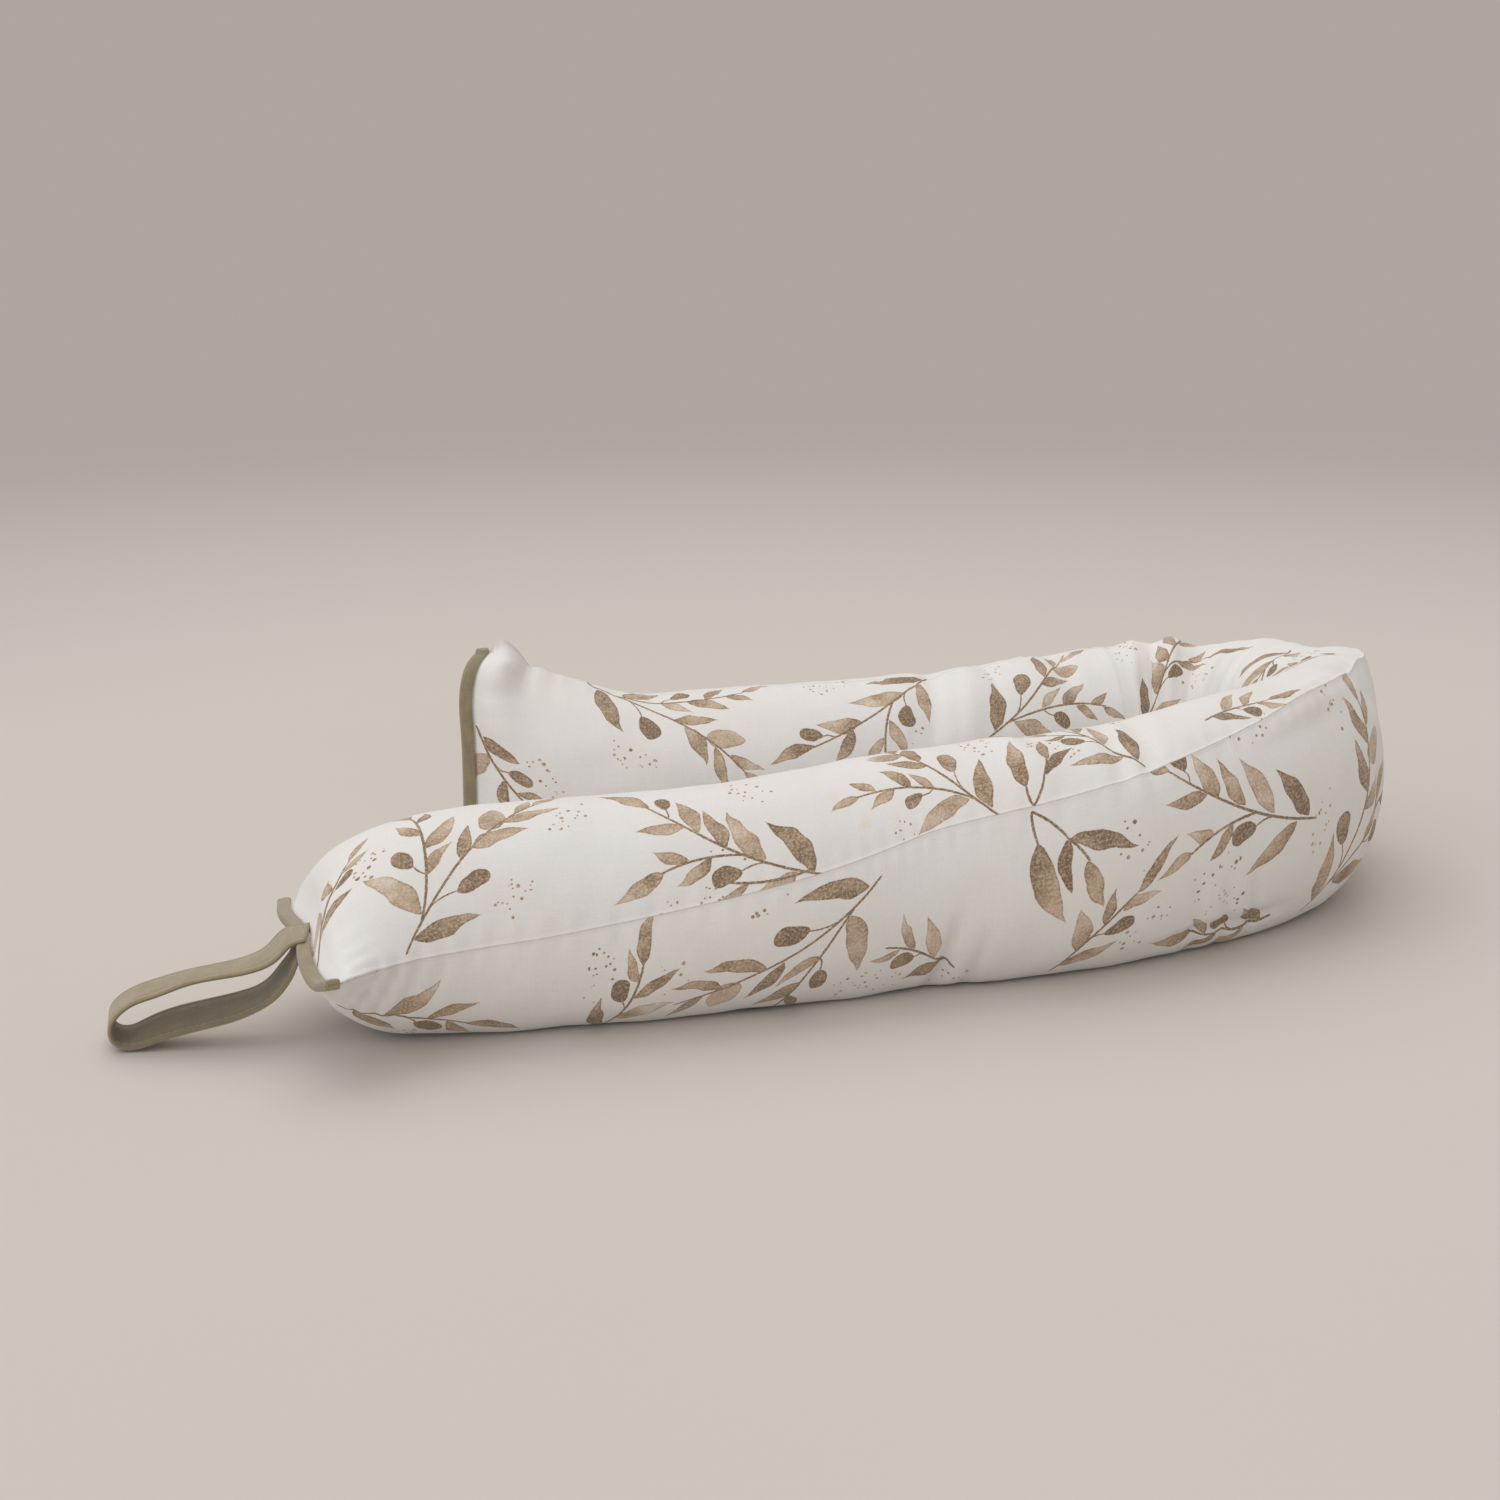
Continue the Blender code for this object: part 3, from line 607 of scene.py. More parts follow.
def sprig_shapes(row, draw, taken):
    """The printed shapes of one sprig, as (origin, heading, length, bow, half width, bluntness,
    tone, fade), its dots, as (x, y, radius), and the discs now taken."""
    size, side = row["size"], row["side"]
    foot = np.array([row["along"], row["turn"] * GIRTH])
    heading = math.radians(row["heading"])
    stems, shapes, dots = [], [], []
    for share, angle, length, bow in STEMS[row["design"]]:
        start, way = (foot, heading) if not stems else placed(*stems[0], share)
        stem = (start, way + side * math.radians(angle), length * size, side * bow * size)
        stems.append(stem)
        shapes.append((*stem, STEM_WIDTH / 2, *STEM_LOOK))
    for stem, share, angle, stalk, length, width, blunt, tone, fade in LEAVES[row["design"]]:
        start, way = placed(*stems[stem], share)
        way += side * math.radians(angle + draw.uniform(-LEAF_TURN, LEAF_TURN))
        foot = start + pointing(way) * stalk * size * STALK_REACH
        bow = draw.uniform(-LEAF_BOW, LEAF_BOW) * length * size if blunt > BUD else 0.0
        shade = tone * draw.uniform(*TONE_RANGE)
        stretch, fill = draw.uniform(*LONG_RANGE), draw.uniform(*WIDE_RANGE)
        for share_of_size in TRIED_SIZES:
            long = length * size * stretch * share_of_size
            half = width * size * fill * share_of_size / 2
            discs = leaf_discs(foot, way, long, half)
            if is_clear(discs, taken):
                break
        else:
            continue
        taken = np.concatenate([taken, discs])
        if stalk > LEAST_STALK:
            shapes.append((start, way, stalk * size, side * STALK_BOW, STALK_WIDTH / 2, *STALK_LOOK))
        if blunt < BUD:
            foot = foot + pointing(way) * long
            way += math.pi
        shapes.append((foot, way, long, bow, half, blunt, shade, fade))
    for stem, share, offset, radius, count in SPRAYS[row["design"]]:
        middle, way = placed(*stems[stem], share)
        ahead = pointing(way)
        left = np.array([-ahead[1], ahead[0]])
        middle = middle + left * side * offset * size
        for _ in range(count):
            away, turned = radius * size * math.sqrt(draw.uniform()), draw.uniform(0, 2 * math.pi)
            small = DOT_SIZES[0] + (DOT_SIZES[1] - DOT_SIZES[0]) * draw.uniform() ** 2
            place = (middle + ahead * away * SPRAY_LONG * math.cos(turned)
                     + left * away * SPRAY_WIDE * math.sin(turned))
            if is_clear(np.array([[*place, small]]), taken):
                dots.append((*place, small))
    return shapes, dots, taken


def face_coordinates(marks):
    """Cloth coordinates of every face corner: along the tube, and signed distance round it."""
    signed = np.where(TURNS < 0.5, TURNS, TURNS - 1.0) * GIRTH
    low = signed
    high = np.roll(signed, -1)
    high[AROUND // 2 - 1] = GIRTH / 2
    along = np.stack([marks[1:], marks[1:], marks[:-1], marks[:-1]], axis=1)
    round_it = np.stack([low, high, high, low], axis=1)
    rows = len(marks) - 1
    u = np.repeat(along[:, None, :], AROUND, axis=1).reshape(-1, 4)
    v = np.repeat(round_it[None, :, :], rows, axis=0).reshape(-1, 4)
    return u, v


def print_on(mesh, marks):
    """Gives each face the local coordinates of the printed shapes and the dot that touch it."""
    u, v = face_coordinates(marks)
    faces = len(u)
    middle_u, middle_v = u.mean(axis=1), v.mean(axis=1)
    slots = np.zeros((LEAF_SLOTS, faces, 4, 3))
    slots[..., 1] = 1.0
    looks = np.zeros((LEAF_SLOTS, faces, 4, 3))
    used = np.zeros(faces, int)
    dots = np.ones((faces, 4, 3))
    dots[..., 2] = 0.0
    nearest = np.full(faces, 1.0)
    draw = np.random.default_rng(PRINT_SEED)
    taken = np.zeros((0, 3))
    for sprig in SPRIGS:
        row = dict(zip(SPRIG_COLUMNS, sprig))
        shapes, sprays, taken = sprig_shapes(row, draw, taken)
        panel = middle_v * row["panel"] > 0
        for origin, heading, length, bow, half, blunt, tone, fade in sorted(shapes, key=lambda s: -s[4]):
            reach = length + half + PITCH
            near = panel & (np.hypot(middle_u - origin[0], middle_v - origin[1]) < reach)
            near = np.nonzero(near & (used < LEAF_SLOTS))[0]
            du, dv = u[near] - origin[0], v[near] - origin[1]
            share = (du * math.cos(heading) + dv * math.sin(heading)) / length
            off = -du * math.sin(heading) + dv * math.cos(heading)
            off -= 4 * bow * np.clip(share, 0, 1) * (1 - np.clip(share, 0, 1))
            inner = np.clip(np.column_stack([share, share.mean(axis=1)]), 0.001, 0.999) ** LEAN
            wide = (half * (4 * inner * (1 - inner)) ** blunt).max(axis=1) + EDGE_ROOM
            touches = (off.min(axis=1) < wide) & (off.max(axis=1) > -wide)
            touches &= (share.max(axis=1) > -0.02) & (share.min(axis=1) < 1.02)
            kept, slot = near[touches], used[near[touches]]
            slots[slot, kept] = np.stack([share, off, np.full_like(off, half)], axis=2)[touches]
            looks[slot, kept] = (blunt, tone, fade)
            used[kept] += 1
        for x, y, radius in sprays:
            away = np.hypot(middle_u - x, middle_v - y)
            kept = panel & (away < nearest) & (away < radius + 2 * PITCH)
            nearest[kept] = away[kept]
            dots[kept, :, 0] = u[kept] - x
            dots[kept, :, 1] = v[kept] - y
            dots[kept, :, 2] = radius
    for slot in range(LEAF_SLOTS):
        corner_attribute(mesh, f"leaf_{slot}", slots[slot].reshape(-1, 3))
        corner_attribute(mesh, f"look_{slot}", looks[slot].reshape(-1, 3))
    corner_attribute(mesh, "dot", dots.reshape(-1, 3))
    corner_attribute(mesh, "cloth", np.stack([u, v, np.zeros_like(u)], axis=2).reshape(-1, 3))


def make_cover():
    """The stuffed printed tube, with its long seams, end gathers and creases."""
    grid, marks, length = cover_grid()
    normals = grid_normals(grid)
    grid = grid + normals * surface_detail(grid, marks, length)[:, :, None]
    grid[:, :, 2] = np.maximum(grid[:, :, 2], 0.0)
    rings = len(marks)
    index = np.arange(rings * AROUND).reshape(rings, AROUND)
    beside = np.roll(index, -1, axis=1)
    quads = np.stack([index[1:], beside[1:], beside[:-1], index[:-1]], axis=2).reshape(-1, 4)
    half = AROUND // 2
    caps = []
    for base, flip in ((0, False), ((rings - 1) * AROUND, True)):
        for j in range(half):
            cap = []
            for k in (j, j + 1, AROUND - j - 1, (AROUND - j) % AROUND):
                if base + k not in cap:
                    cap.append(base + k)
            caps.append(tuple(reversed(cap)) if flip else tuple(cap))
    piece = quad_mesh("printed_cover", grid.reshape(-1, 3), quads, caps)
    print_on(piece.data, marks)
    return piece


def sweep(name, centres, sides, ups, profiles, lengths):
    """Closed profiles of (across, up) points swept along centres, with cloth coordinates and a flag for
    the profile's lower side, which the tape material can darken as painted shade.
    """
    profile = profiles[len(profiles) // 2]
    size, count = len(profile), len(centres)
    across, up = np.moveaxis(profiles, 2, 0)[:, :, :, None]
    points = centres[:, None] + sides[:, None] * across + ups[:, None] * up
    index = np.arange(count * size).reshape(count, size)
    beside = np.roll(index, -1, axis=1)
    quads = np.stack([index[:-1], beside[:-1], beside[1:], index[1:]], axis=2).reshape(-1, 4)
    extra = [tuple(range(size))[::-1], tuple(range((count - 1) * size, count * size))]
    piece = quad_mesh(name, points.reshape(-1, 3), quads, extra)
    edge = np.linalg.norm(np.roll(profile, -1, axis=0) - profile, axis=1)
    start = np.concatenate([[0.0], np.cumsum(edge)])
    low, high = lengths[:-1], lengths[1:]
    u = np.stack([low, low, high, high], axis=1)[:, None, :].repeat(size, axis=1)
    v = np.stack([start[:-1], start[1:], start[1:], start[:-1]], axis=1)[None].repeat(count - 1, axis=0)
    # lower side of the profile: the tape material darkens these faces with painted shade
    under = (profile[:, 1] + np.roll(profile[:, 1], -1) < 0.0).astype(float)
    under = np.broadcast_to(under[None, :, None], u.shape)
    corner_attribute(piece.data, "cloth", np.stack([u, v, under], axis=3).reshape(-1, 3))
    return piece


def unit(rows):
    return rows / np.linalg.norm(rows, axis=-1, keepdims=True)


def run_along(points):
    return np.concatenate([[0.0], np.cumsum(np.linalg.norm(np.diff(points, axis=0), axis=1))])


def make_binding(name, near):
    """Tape folded over the lip beyond an end seam, closed past its two ends."""
    run, line = tube_line()
    length = run[-1]
    half = AROUND // 2
    edge = ring(0.0 if near else length, length, run, line, TURNS)
    inner = ring(LIP_DEEP if near else length - LIP_DEEP, length, run, line, TURNS)
    seam_line = np.array([edge[0]] + [(edge[j] + edge[-j]) / 2 for j in range(1, half)] + [edge[half]])
    outward = unit(edge[0] - inner[0])
    lift = unit(edge[half // 2] - edge[-half // 2])
    hollow = LIP_THICK / 2 + CLEAR
    outer = hollow + TAPE_THICK
    fold = CLEAR + TAPE_THICK
    deep = fold - TAPE_DEEP
    bulge = 0.00025
    bevel = 0.0002
    steps = (0.25, 0.5, 0.75, 0.92)
    arc = np.linspace(math.pi / 2, -math.pi / 2, 9)
    around = [(CLEAR + TAPE_THICK * math.cos(a), outer * math.sin(a)) for a in arc]
    lower = [(deep * s, -outer - bulge * math.sin(math.pi * s)) for s in steps]
    upper = [(deep * s, outer + bulge * math.sin(math.pi * s)) for s in reversed(steps)]
    profile = (around + lower + [(deep, -outer + bevel), (deep, -hollow), (0.0, -hollow * 0.9),
               (0.0, hollow * 0.9), (deep, hollow), (deep, outer - bevel)] + upper)
    open_tape = np.array(profile)
    closed = open_tape.copy()
    closed[np.abs(closed[:, 1]) <= hollow, 1] = 0.0
    middle = np.array([(fold + deep) / 2, 0.0])
    narrow = [middle + (closed - middle) * (0.98 * k, 0.92 * k) for k in (1.0, 0.8)]
    ends = (CLEAR, CLEAR + 0.0002, CLEAR + 0.0007, CLEAR + 0.0010)
    first, last = unit(seam_line[0] - seam_line[1]), unit(seam_line[-1] - seam_line[-2])
    line = np.concatenate([[seam_line[0] + first * far for far in reversed(ends)], seam_line,
                           [seam_line[-1] + last * far for far in ends]])
    profiles = np.array([narrow[1], narrow[0], closed, open_tape] + [open_tape] * len(seam_line)
                        + [open_tape, closed, narrow[0], narrow[1]])
    sides = np.repeat(outward[None], len(line), axis=0)
    ups = np.repeat(lift[None], len(line), axis=0)
    piece = sweep(name, line, sides, ups, profiles, run_along(line))
    return piece, (line, sides, ups)


def loop_line(count):
    """The carry loop's centres, front directions and face directions."""
    fine, run = smooth_line(np.array(LOOP_PATH), 3, 1.0)
    at = np.linspace(0.0, run[-1], count)
    line = read_line(fine, run, at)
    centres = line[:, :3] - np.array([*PLAN_CENTRE, 0.0])
    forward = unit(np.gradient(centres, at, axis=0))
    front = unit(LOOP_FRONT - forward * (forward @ LOOP_FRONT)[:, None])
    front[:, 2] -= np.sin(np.radians(line[:, 3]))
    front = unit(front)
    return centres, front, unit(np.cross(forward, front)), at


def make_loop():
    """The carry loop: a folded tape with rounded edges and a stitched groove along each."""
    centres, front, face, at = loop_line(LOOP_RINGS)
    half, thick = LOOP_WIDTH / 2, LOOP_THICK / 2
    marks = (-0.82, -STITCH_AT, -0.72, -0.4, 0.0, 0.4, 0.72, STITCH_AT, 0.82)
    groove = {-STITCH_AT: LOOP_GROOVE, STITCH_AT: LOOP_GROOVE}
    top = [(half * m, thick - groove.get(m, 0.0)) for m in marks]
    bottom = [(half * m, -thick + groove.get(m, 0.0)) for m in reversed(marks)]
    turn = np.linspace(math.pi / 2, -math.pi / 2, 9)[1:-1]
    front_edge = [(half - thick + thick * math.cos(a), thick * math.sin(a)) for a in turn]
    back_edge = [(-x, -y) for x, y in front_edge]
    profile = (top + [(half - thick, thick)] + front_edge + [(half - thick, -thick)]
               + bottom + [(-half + thick, -thick)] + back_edge + [(-half + thick, thick)])
    profiles = np.repeat(np.array(profile[::-1])[None], LOOP_RINGS, axis=0)
    return sweep("loop_tape", centres, front, face, profiles, at)


def stitch_row(places, ups):
    """Small raised stitches along a line, as points and faces of lozenge-shaped threads."""
    run = run_along(places)
    points, faces = [], []
    for start in np.arange(STITCH_PITCH, run[-1] - STITCH_PITCH, STITCH_PITCH):
        at = np.array([start, start + STITCH_LONG / 2, start + STITCH_LONG])
        middle = read_line(places, run, at)
        up = unit(read_line(ups, run, at))
        ahead = unit(middle[2] - middle[0])
        for k, (share, sunk) in enumerate(STITCH_SECTIONS):
            side = np.cross(ahead, up[k])
            base = middle[k] - up[k] * STITCH_THICK * sunk
            for angle in np.linspace(0, 2 * math.pi, STITCH_SIDES, endpoint=False):
                spoke = side * math.cos(angle) + up[k] * math.sin(angle)
                points.append(base + spoke * STITCH_THICK * share)
        first = len(points) - 3 * STITCH_SIDES
        for k in (0, STITCH_SIDES):
            for j in range(STITCH_SIDES):
                a, b = first + k + j, first + k + (j + 1) % STITCH_SIDES
                faces.append((a, b, b + STITCH_SIDES, a + STITCH_SIDES))
        faces.append(tuple(range(first + STITCH_SIDES - 1, first - 1, -1)))
        faces.append(tuple(range(first + 2 * STITCH_SIDES, first + 3 * STITCH_SIDES)))
    return points, faces


def make_stitching(name, lines):
    """All the stitches of one piece, as one object."""
    points, faces = [], []
    for places, ups in lines:
        more_points, more_faces = stitch_row(places, ups)
        base = len(points)
        points += more_points
        faces += [tuple(base + i for i in face) for face in more_faces]
    return quad_mesh(name, np.array(points), faces)


def add(tree, kind, inputs=None, **settings):
    """A node with its settings and inputs, each a value or another node's output."""
    node = tree.nodes.new(kind)
    for key, value in settings.items():
        setattr(node, key, value)
    for key, value in (inputs or {}).items():
        if isinstance(value, bpy.types.NodeSocket):
            tree.links.new(value, node.inputs[key])
        else:
            node.inputs[key].default_value = value
    return node


def work(tree, operation, *values, clamp=False):
    """One step of arithmetic."""
    node = add(tree, "ShaderNodeMath", dict(enumerate(values)), operation=operation, use_clamp=clamp)
    return node.outputs[0]


def times(tree, *values, clamp=False):
    return work(tree, "MULTIPLY", *values, clamp=clamp)


def plus(tree, *values, clamp=False):
    return work(tree, "ADD", *values, clamp=clamp)


def minus(tree, *values):
    return work(tree, "SUBTRACT", *values)


def stepped(tree, value, low, high):
    """A smooth step from 0 at low to 1 at high."""
    inputs = {"Value": value, "From Min": low, "From Max": high}
    return add(tree, "ShaderNodeMapRange", inputs, interpolation_type="SMOOTHSTEP").outputs[0]


def attribute(tree, name):
    return add(tree, "ShaderNodeAttribute", attribute_name=name).outputs["Vector"]


def parts_of(tree, vector):
    return add(tree, "ShaderNodeSeparateXYZ", {0: vector}).outputs


def scaled(tree, vector, size):
    inputs = {0: vector, 1: size}
    return add(tree, "ShaderNodeVectorMath", inputs, operation="MULTIPLY").outputs[0]


def grain(tree, vector, scale, detail=2.0, rough=0.5):
    inputs = {"Vector": vector, "Scale": scale, "Detail": detail, "Roughness": rough}
    return add(tree, "ShaderNodeTexNoise", inputs, noise_dimensions="3D").outputs[0]


def swing(tree, vector, scale, detail, rough=0.5):
    """Noise that swings about zero."""
    return minus(tree, grain(tree, vector, scale, detail, rough), 0.5)


def grey(tree, value):
    return add(tree, "ShaderNodeCombineColor", {0: value, 1: value, 2: value}).outputs[0]


def mixed(tree, share, first, second, blend="MIX"):
    node = add(tree, "ShaderNodeMix", data_type="RGBA", blend_type=blend)
    for key, value in (("Factor_Float", share), ("A_Color", first), ("B_Color", second)):
        socket = next(s for s in node.inputs if s.identifier == key)
        if isinstance(value, bpy.types.NodeSocket):
            tree.links.new(value, socket)
        else:
            socket.default_value = value if key == "Factor_Float" else (*value, 1.0)
    return next(s for s in node.outputs if s.identifier == "Result_Color")


def new_material(name, roughness, sheen):
    material = bpy.data.materials.new(name)
    material.use_nodes = True
    shader = material.node_tree.nodes["Principled BSDF"]
    shader.inputs["Roughness"].default_value = roughness
    shader.inputs["Sheen Weight"].default_value = sheen
    shader.inputs["Sheen Roughness"].default_value = 0.5
    shader.inputs["Specular IOR Level"].default_value = 0.2
    return material, material.node_tree, shader


def weave_height(tree, cloth, pitch):
    """The over-and-under of a plain weave, uneven as spun thread is."""
    wobble = grain(tree, scaled(tree, cloth, (60.0, 60.0, 60.0)), 3.0)
    u, v, _ = parts_of(tree, cloth)
    turns = 2 * math.pi / (2 * pitch)
    wave_u = work(tree, "SINE", times(tree, u, turns))
    wave_v = work(tree, "SINE", times(tree, v, turns))
    checks = times(tree, wave_u, wave_v)
    slub_u = grain(tree, scaled(tree, cloth, (90.0, 1400.0, 1.0)), 1.0, 2.0)
    slub_v = grain(tree, scaled(tree, cloth, (1400.0, 90.0, 1.0)), 1.0, 2.0)
    slubs = plus(tree, slub_u, slub_v)
    return plus(tree, times(tree, checks, wobble), slubs), slubs


def bumped(tree, shader, height, strength, distance):
    inputs = {"Height": height, "Strength": strength, "Distance": distance}
    tree.links.new(add(tree, "ShaderNodeBump", inputs).outputs[0], shader.inputs["Normal"])


def printed_ink(tree, cloth):
    """How much ink lies on the cloth: the printed shapes that each face knows, and its dot."""
    ragged = times(tree, swing(tree, cloth, 900.0, 3.0), INK_RAGGED)
    wavy = times(tree, swing(tree, cloth, 150.0, 0.0), INK_WAVY)
    mottle = times(tree, swing(tree, cloth, 260.0, 4.0, 0.6), MOTTLE)
    patchy = swing(tree, cloth, 90.0, 1.0)
    blotch = times(tree, patchy, BLOTCH)
    ink = None
    for slot in range(LEAF_SLOTS):
        share, straight_off, half = parts_of(tree, attribute(tree, f"leaf_{slot}"))
        broad = stepped(tree, half, 0.0005, 0.0020)
        off = plus(tree, straight_off, times(tree, wavy, broad))
        blunt, tone, fade = parts_of(tree, attribute(tree, f"look_{slot}"))
        held = work(tree, "MAXIMUM", work(tree, "MINIMUM", share, 0.9999), 0.0001)
        over = times(tree, work(tree, "ABSOLUTE", minus(tree, share, held)), 0.03)
        inner = work(tree, "POWER", held, LEAN)
        hump = times(tree, times(tree, inner, minus(tree, 1.0, inner)), 4.0)
        wide = times(tree, work(tree, "POWER", hump, blunt), half)
        inside = minus(tree, minus(tree, wide, work(tree, "ABSOLUTE", off)), over)
        inside = plus(tree, inside, ragged)
        mask = stepped(tree, inside, -0.00014, 0.00016)
        rim = stepped(tree, inside, 0.0009, 0.0001)
        shade = times(tree, tone, minus(tree, 1.0, times(tree, fade, share)))
        shade = plus(tree, plus(tree, shade, mottle), blotch)
        shade = plus(tree, shade, times(tree, rim, RIM), clamp=True)
        cover = times(tree, mask, shade)
        ink = cover if ink is None else work(tree, "MAXIMUM", ink, cover)
    x, y, radius = parts_of(tree, attribute(tree, "dot"))
    away = work(tree, "SQRT", plus(tree, times(tree, x, x), times(tree, y, y)))
    spot = stepped(tree, minus(tree, radius, away), -0.00012, 0.00014)
    spot = times(tree, spot, plus(tree, times(tree, patchy, 1.2), 0.72), clamp=True)
    return work(tree, "MAXIMUM", ink, spot)


def cotton_material():
    """Off-white plain-weave cotton with a brown watercolour print, and a painted shade line along the
    outer seam.
    """
    material, tree, shader = new_material("printed_cotton", 0.92, 0.16)
    cloth = attribute(tree, "cloth")
    height, slubs = weave_height(tree, cloth, WEAVE_PITCH)
    ink = printed_ink(tree, cloth)
    speckle = stepped(tree, grain(tree, cloth, 1000.0, 2.0, 0.7), 0.36, 0.60)
    grained = times(tree, ink, plus(tree, times(tree, slubs, 0.45), 0.53))
    grained = times(tree, grained, plus(tree, times(tree, speckle, 0.50), 0.64),
                   clamp=True)
    ramp = add(tree, "ShaderNodeValToRGB", {0: grained})
    for position, _ in INK_STOPS[1:-1]:
        ramp.color_ramp.elements.new(position)
    for element, (position, colour) in zip(ramp.color_ramp.elements, INK_STOPS):
        element.position = position
        element.color = (*colour, 1.0)
    aged = grain(tree, cloth, 22.0, 2.0)
    ground = mixed(tree, stepped(tree, aged, 0.35, 0.75), (0.785, 0.774, 0.764), (0.780, 0.757, 0.732))
    thread = plus(tree, times(tree, slubs, 0.07), 0.93)
    ground = mixed(tree, 1.0, ground, grey(tree, thread), "MULTIPLY")
    for along, off, radius, strength in STAINS:
        away = add(tree, "ShaderNodeVectorMath", {0: cloth, 1: (along, off, 0.0)}, operation="DISTANCE")
        away = away.outputs["Value"]
        ragged = plus(tree, away, times(tree, grain(tree, cloth, 150.0, 3.0, 0.7), radius * 4))
        share = times(tree, stepped(tree, ragged, radius * 3.2, radius * 1.4), strength)
        ground = mixed(tree, share, ground, STAIN)
    colour = mixed(tree, 1.0, ground, ramp.outputs[0], "MULTIPLY")
    round_it = parts_of(tree, cloth)[1]
    # painted shade: a thin darker line along the outer seam, uneven along its length
    seam_shade_mask = stepped(tree, work(tree, "ABSOLUTE", round_it), SEAM_LINE, SEAM_LINE * 0.2)
    uneven = plus(tree, times(tree, grain(tree, cloth, 400.0), 0.7), 0.10)
    colour = mixed(tree, times(tree, seam_shade_mask, uneven), colour, SEAM_SHADE)
    tree.links.new(colour, shader.inputs["Base Color"])
    bumped(tree, shader, height, 0.22, 0.00018)
    return material


def tape_material(name, colour, worn, pitch, inner_shade):
    """Olive-taupe cotton tape with a fine twill, paler where worn, and darker on its inner side with
    painted shade.
    """
    material, tree, shader = new_material(name, 0.85, 0.35)
    cloth = attribute(tree, "cloth")
    height, slubs = weave_height(tree, cloth, pitch)
    patches = stepped(tree, grain(tree, cloth, 120.0, 3.0, 0.6), 0.35, 0.75)
    ground = mixed(tree, patches, colour, worn)
    thread = plus(tree, times(tree, slubs, 0.30), 0.70)
    ground = mixed(tree, 1.0, ground, grey(tree, thread), "MULTIPLY")
    # painted shade over the tape's inner side, at inner_shade of its colour
    painted_shade_colour = mixed(tree, 1.0, ground, (inner_shade,) * 3, "MULTIPLY")
    under = parts_of(tree, cloth)[2]
    tree.links.new(mixed(tree, under, ground, painted_shade_colour), shader.inputs["Base Color"])
    bumped(tree, shader, height, 0.5, 0.00020)
    return material


def thread_material():
    """Sewing thread a little paler than the tape."""
    material, tree, shader = new_material("thread", 0.7, 0.2)
    place = add(tree, "ShaderNodeTexCoord").outputs["Object"]
    twist = grain(tree, place, 1800.0, 2.0)
    tree.links.new(mixed(tree, twist, (0.30, 0.26, 0.19), (0.40, 0.35, 0.26)), shader.inputs["Base Color"])
    return material


def make_floor():
    """A wide plain pale floor that fades into the backdrop a little way off."""
    corners = ((-1, -1), (1, -1), (1, 1), (-1, 1))
    points = np.array([(x * FLOOR_HALF, y * FLOOR_HALF, -FLOOR_DROP) for x, y in corners])
    floor = quad_mesh("floor", points, [(0, 1, 2, 3)])
    material, tree, shader = new_material("floor", 0.75, 0.0)
    place = add(tree, "ShaderNodeTexCoord").outputs["Object"]
    cloudy = grain(tree, place, 2.2, 3.0)
    colour = mixed(tree, cloudy, (0.608, 0.568, 0.530), (0.633, 0.590, 0.550))
    tree.links.new(colour, shader.inputs["Base Color"])
    away = add(tree, "ShaderNodeVectorMath", {0: place}, operation="LENGTH").outputs["Value"]
    glow = add(tree, "ShaderNodeEmission", {"Color": (*BACKDROP, 1.0)})
    far = stepped(tree, away, FADE_FROM, FADE_TO)
    blend = add(tree, "ShaderNodeMixShader", {0: far, 1: shader.outputs[0], 2: glow.outputs[0]})
    tree.links.new(blend.outputs[0], tree.nodes["Material Output"].inputs["Surface"])
    floor.data.materials.append(material)


def add_sun(name, azimuth, elevation, spread, strength, colour):
    """A wide soft light from the given bearing; azimuth 0 is from behind, positive to the left."""
    lamp = bpy.data.lights.new(name, "SUN")
    lamp.angle = math.radians(spread)
    lamp.energy = strength
    lamp.color = colour
    thing = bpy.data.objects.new(name, lamp)
    thing.rotation_euler = (math.radians(elevation - 90), 0.0, math.radians(azimuth))
    bpy.context.scene.collection.objects.link(thing)


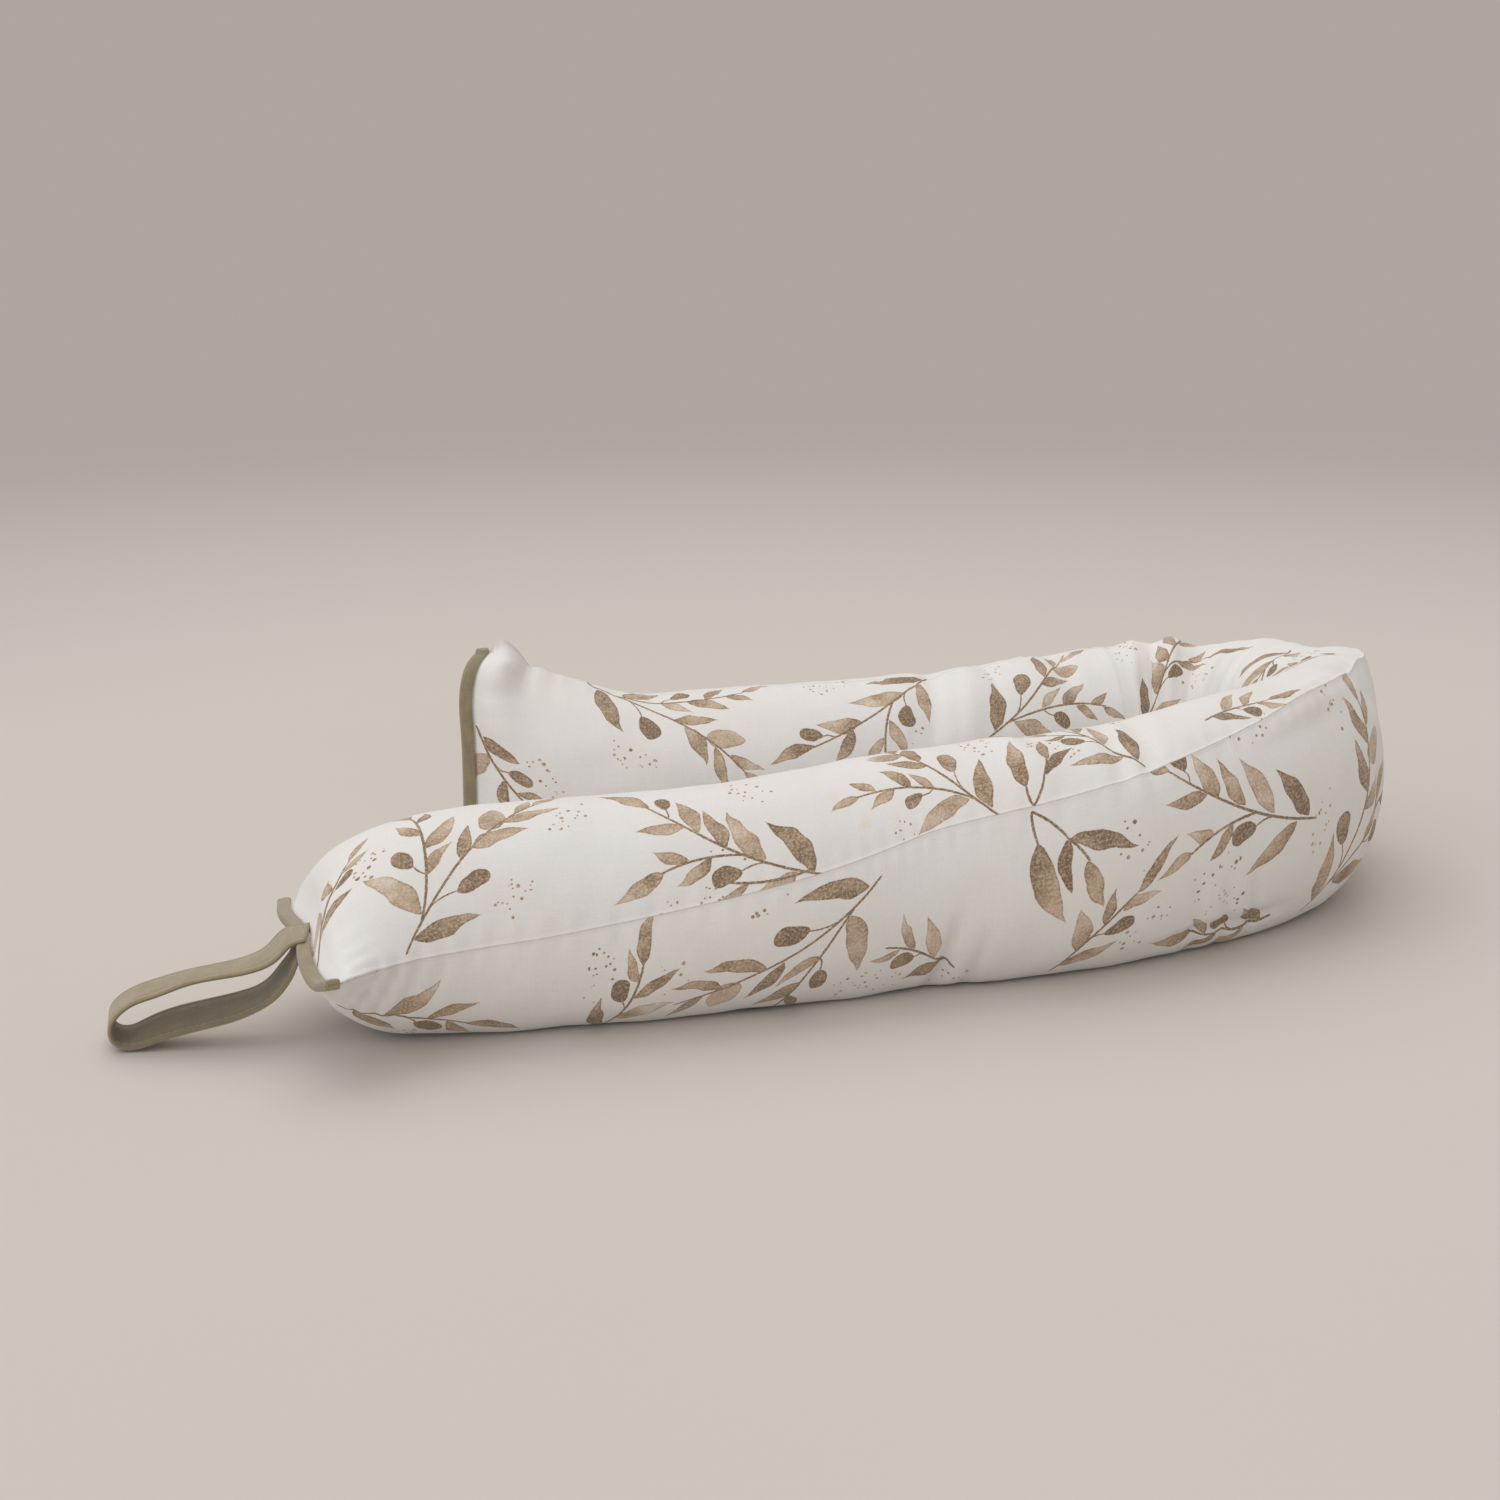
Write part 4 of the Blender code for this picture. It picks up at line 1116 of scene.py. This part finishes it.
def light_scene():
    world = bpy.data.worlds.new("studio")
    world.use_nodes = True
    sky = world.node_tree.nodes["Background"]
    sky.inputs["Color"].default_value = (*BACKDROP, 1.0)
    sky.inputs["Strength"].default_value = 1.0
    bpy.context.scene.world = world
    for sun in SUNS:
        add_sun(*sun)


def add_camera():
    """The photograph's viewing angle: from in front, pitched down and rolled a little."""
    data = bpy.data.cameras.new("camera")
    data.sensor_width = 36.0
    data.lens = CAMERA_LENS
    camera = bpy.data.objects.new("camera", data)
    camera.location = (-PLAN_CENTRE[0], -PLAN_CENTRE[1], CAMERA_HEIGHT)
    camera.rotation_mode = "XYZ"
    camera.rotation_euler = (math.radians(90 - CAMERA_PITCH), math.radians(CAMERA_ROLL), 0.0)
    bpy.context.scene.collection.objects.link(camera)
    bpy.context.scene.camera = camera


def finish_piece(piece, material, node=None):
    """Gives a piece its material and body, and hides the solid that it stands for."""
    piece.data.materials.append(material)
    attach(piece, "root")
    if node:
        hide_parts(node)


def main():
    cotton = cotton_material()
    # the loop tape's inner side is darkened to 0.72 as painted shade; the binding's inner side is not
    # darkened
    tape = tape_material("binding_tape", (0.285, 0.234, 0.150), (0.335, 0.278, 0.182), 0.00040, 1.0)
    band = tape_material("loop_tape", (0.300, 0.246, 0.155), (0.350, 0.289, 0.188), 0.00045, 0.72)
    thread = thread_material()
    cover = make_cover()
    finish_piece(cover, cotton, "cover")
    for node, near in (("near_binding", True), ("far_binding", False)):
        piece, (line, sides, ups) = make_binding(f"{node}_tape", near)
        finish_piece(piece, tape, node)
        stitches = []
        for side in (1, -1):
            off = LIP_THICK / 2 + CLEAR + TAPE_THICK
            places = line - sides * (TAPE_DEEP - 0.0024) + ups * side * off
            stitches.append((places, ups * side))
        sewn = make_stitching(f"{node}_stitches", stitches)
        finish_piece(sewn, thread)
    loop = make_loop()
    finish_piece(loop, band, "carry_loop")
    centres, front, face, at = loop_line(LOOP_RINGS)
    stitches = []
    for edge in (-STITCH_AT, STITCH_AT):
        for side in (1, -1):
            places = centres + front * edge * LOOP_WIDTH / 2 + face * side * (LOOP_THICK / 2 - 0.00015)
            stitches.append((places[6:-6], face[6:-6] * side))
    sewn = make_stitching("loop_stitches", stitches)
    finish_piece(sewn, thread)
    make_floor()
    light_scene()
    add_camera()
    bpy.context.scene.view_settings.view_transform = "Standard"


main()
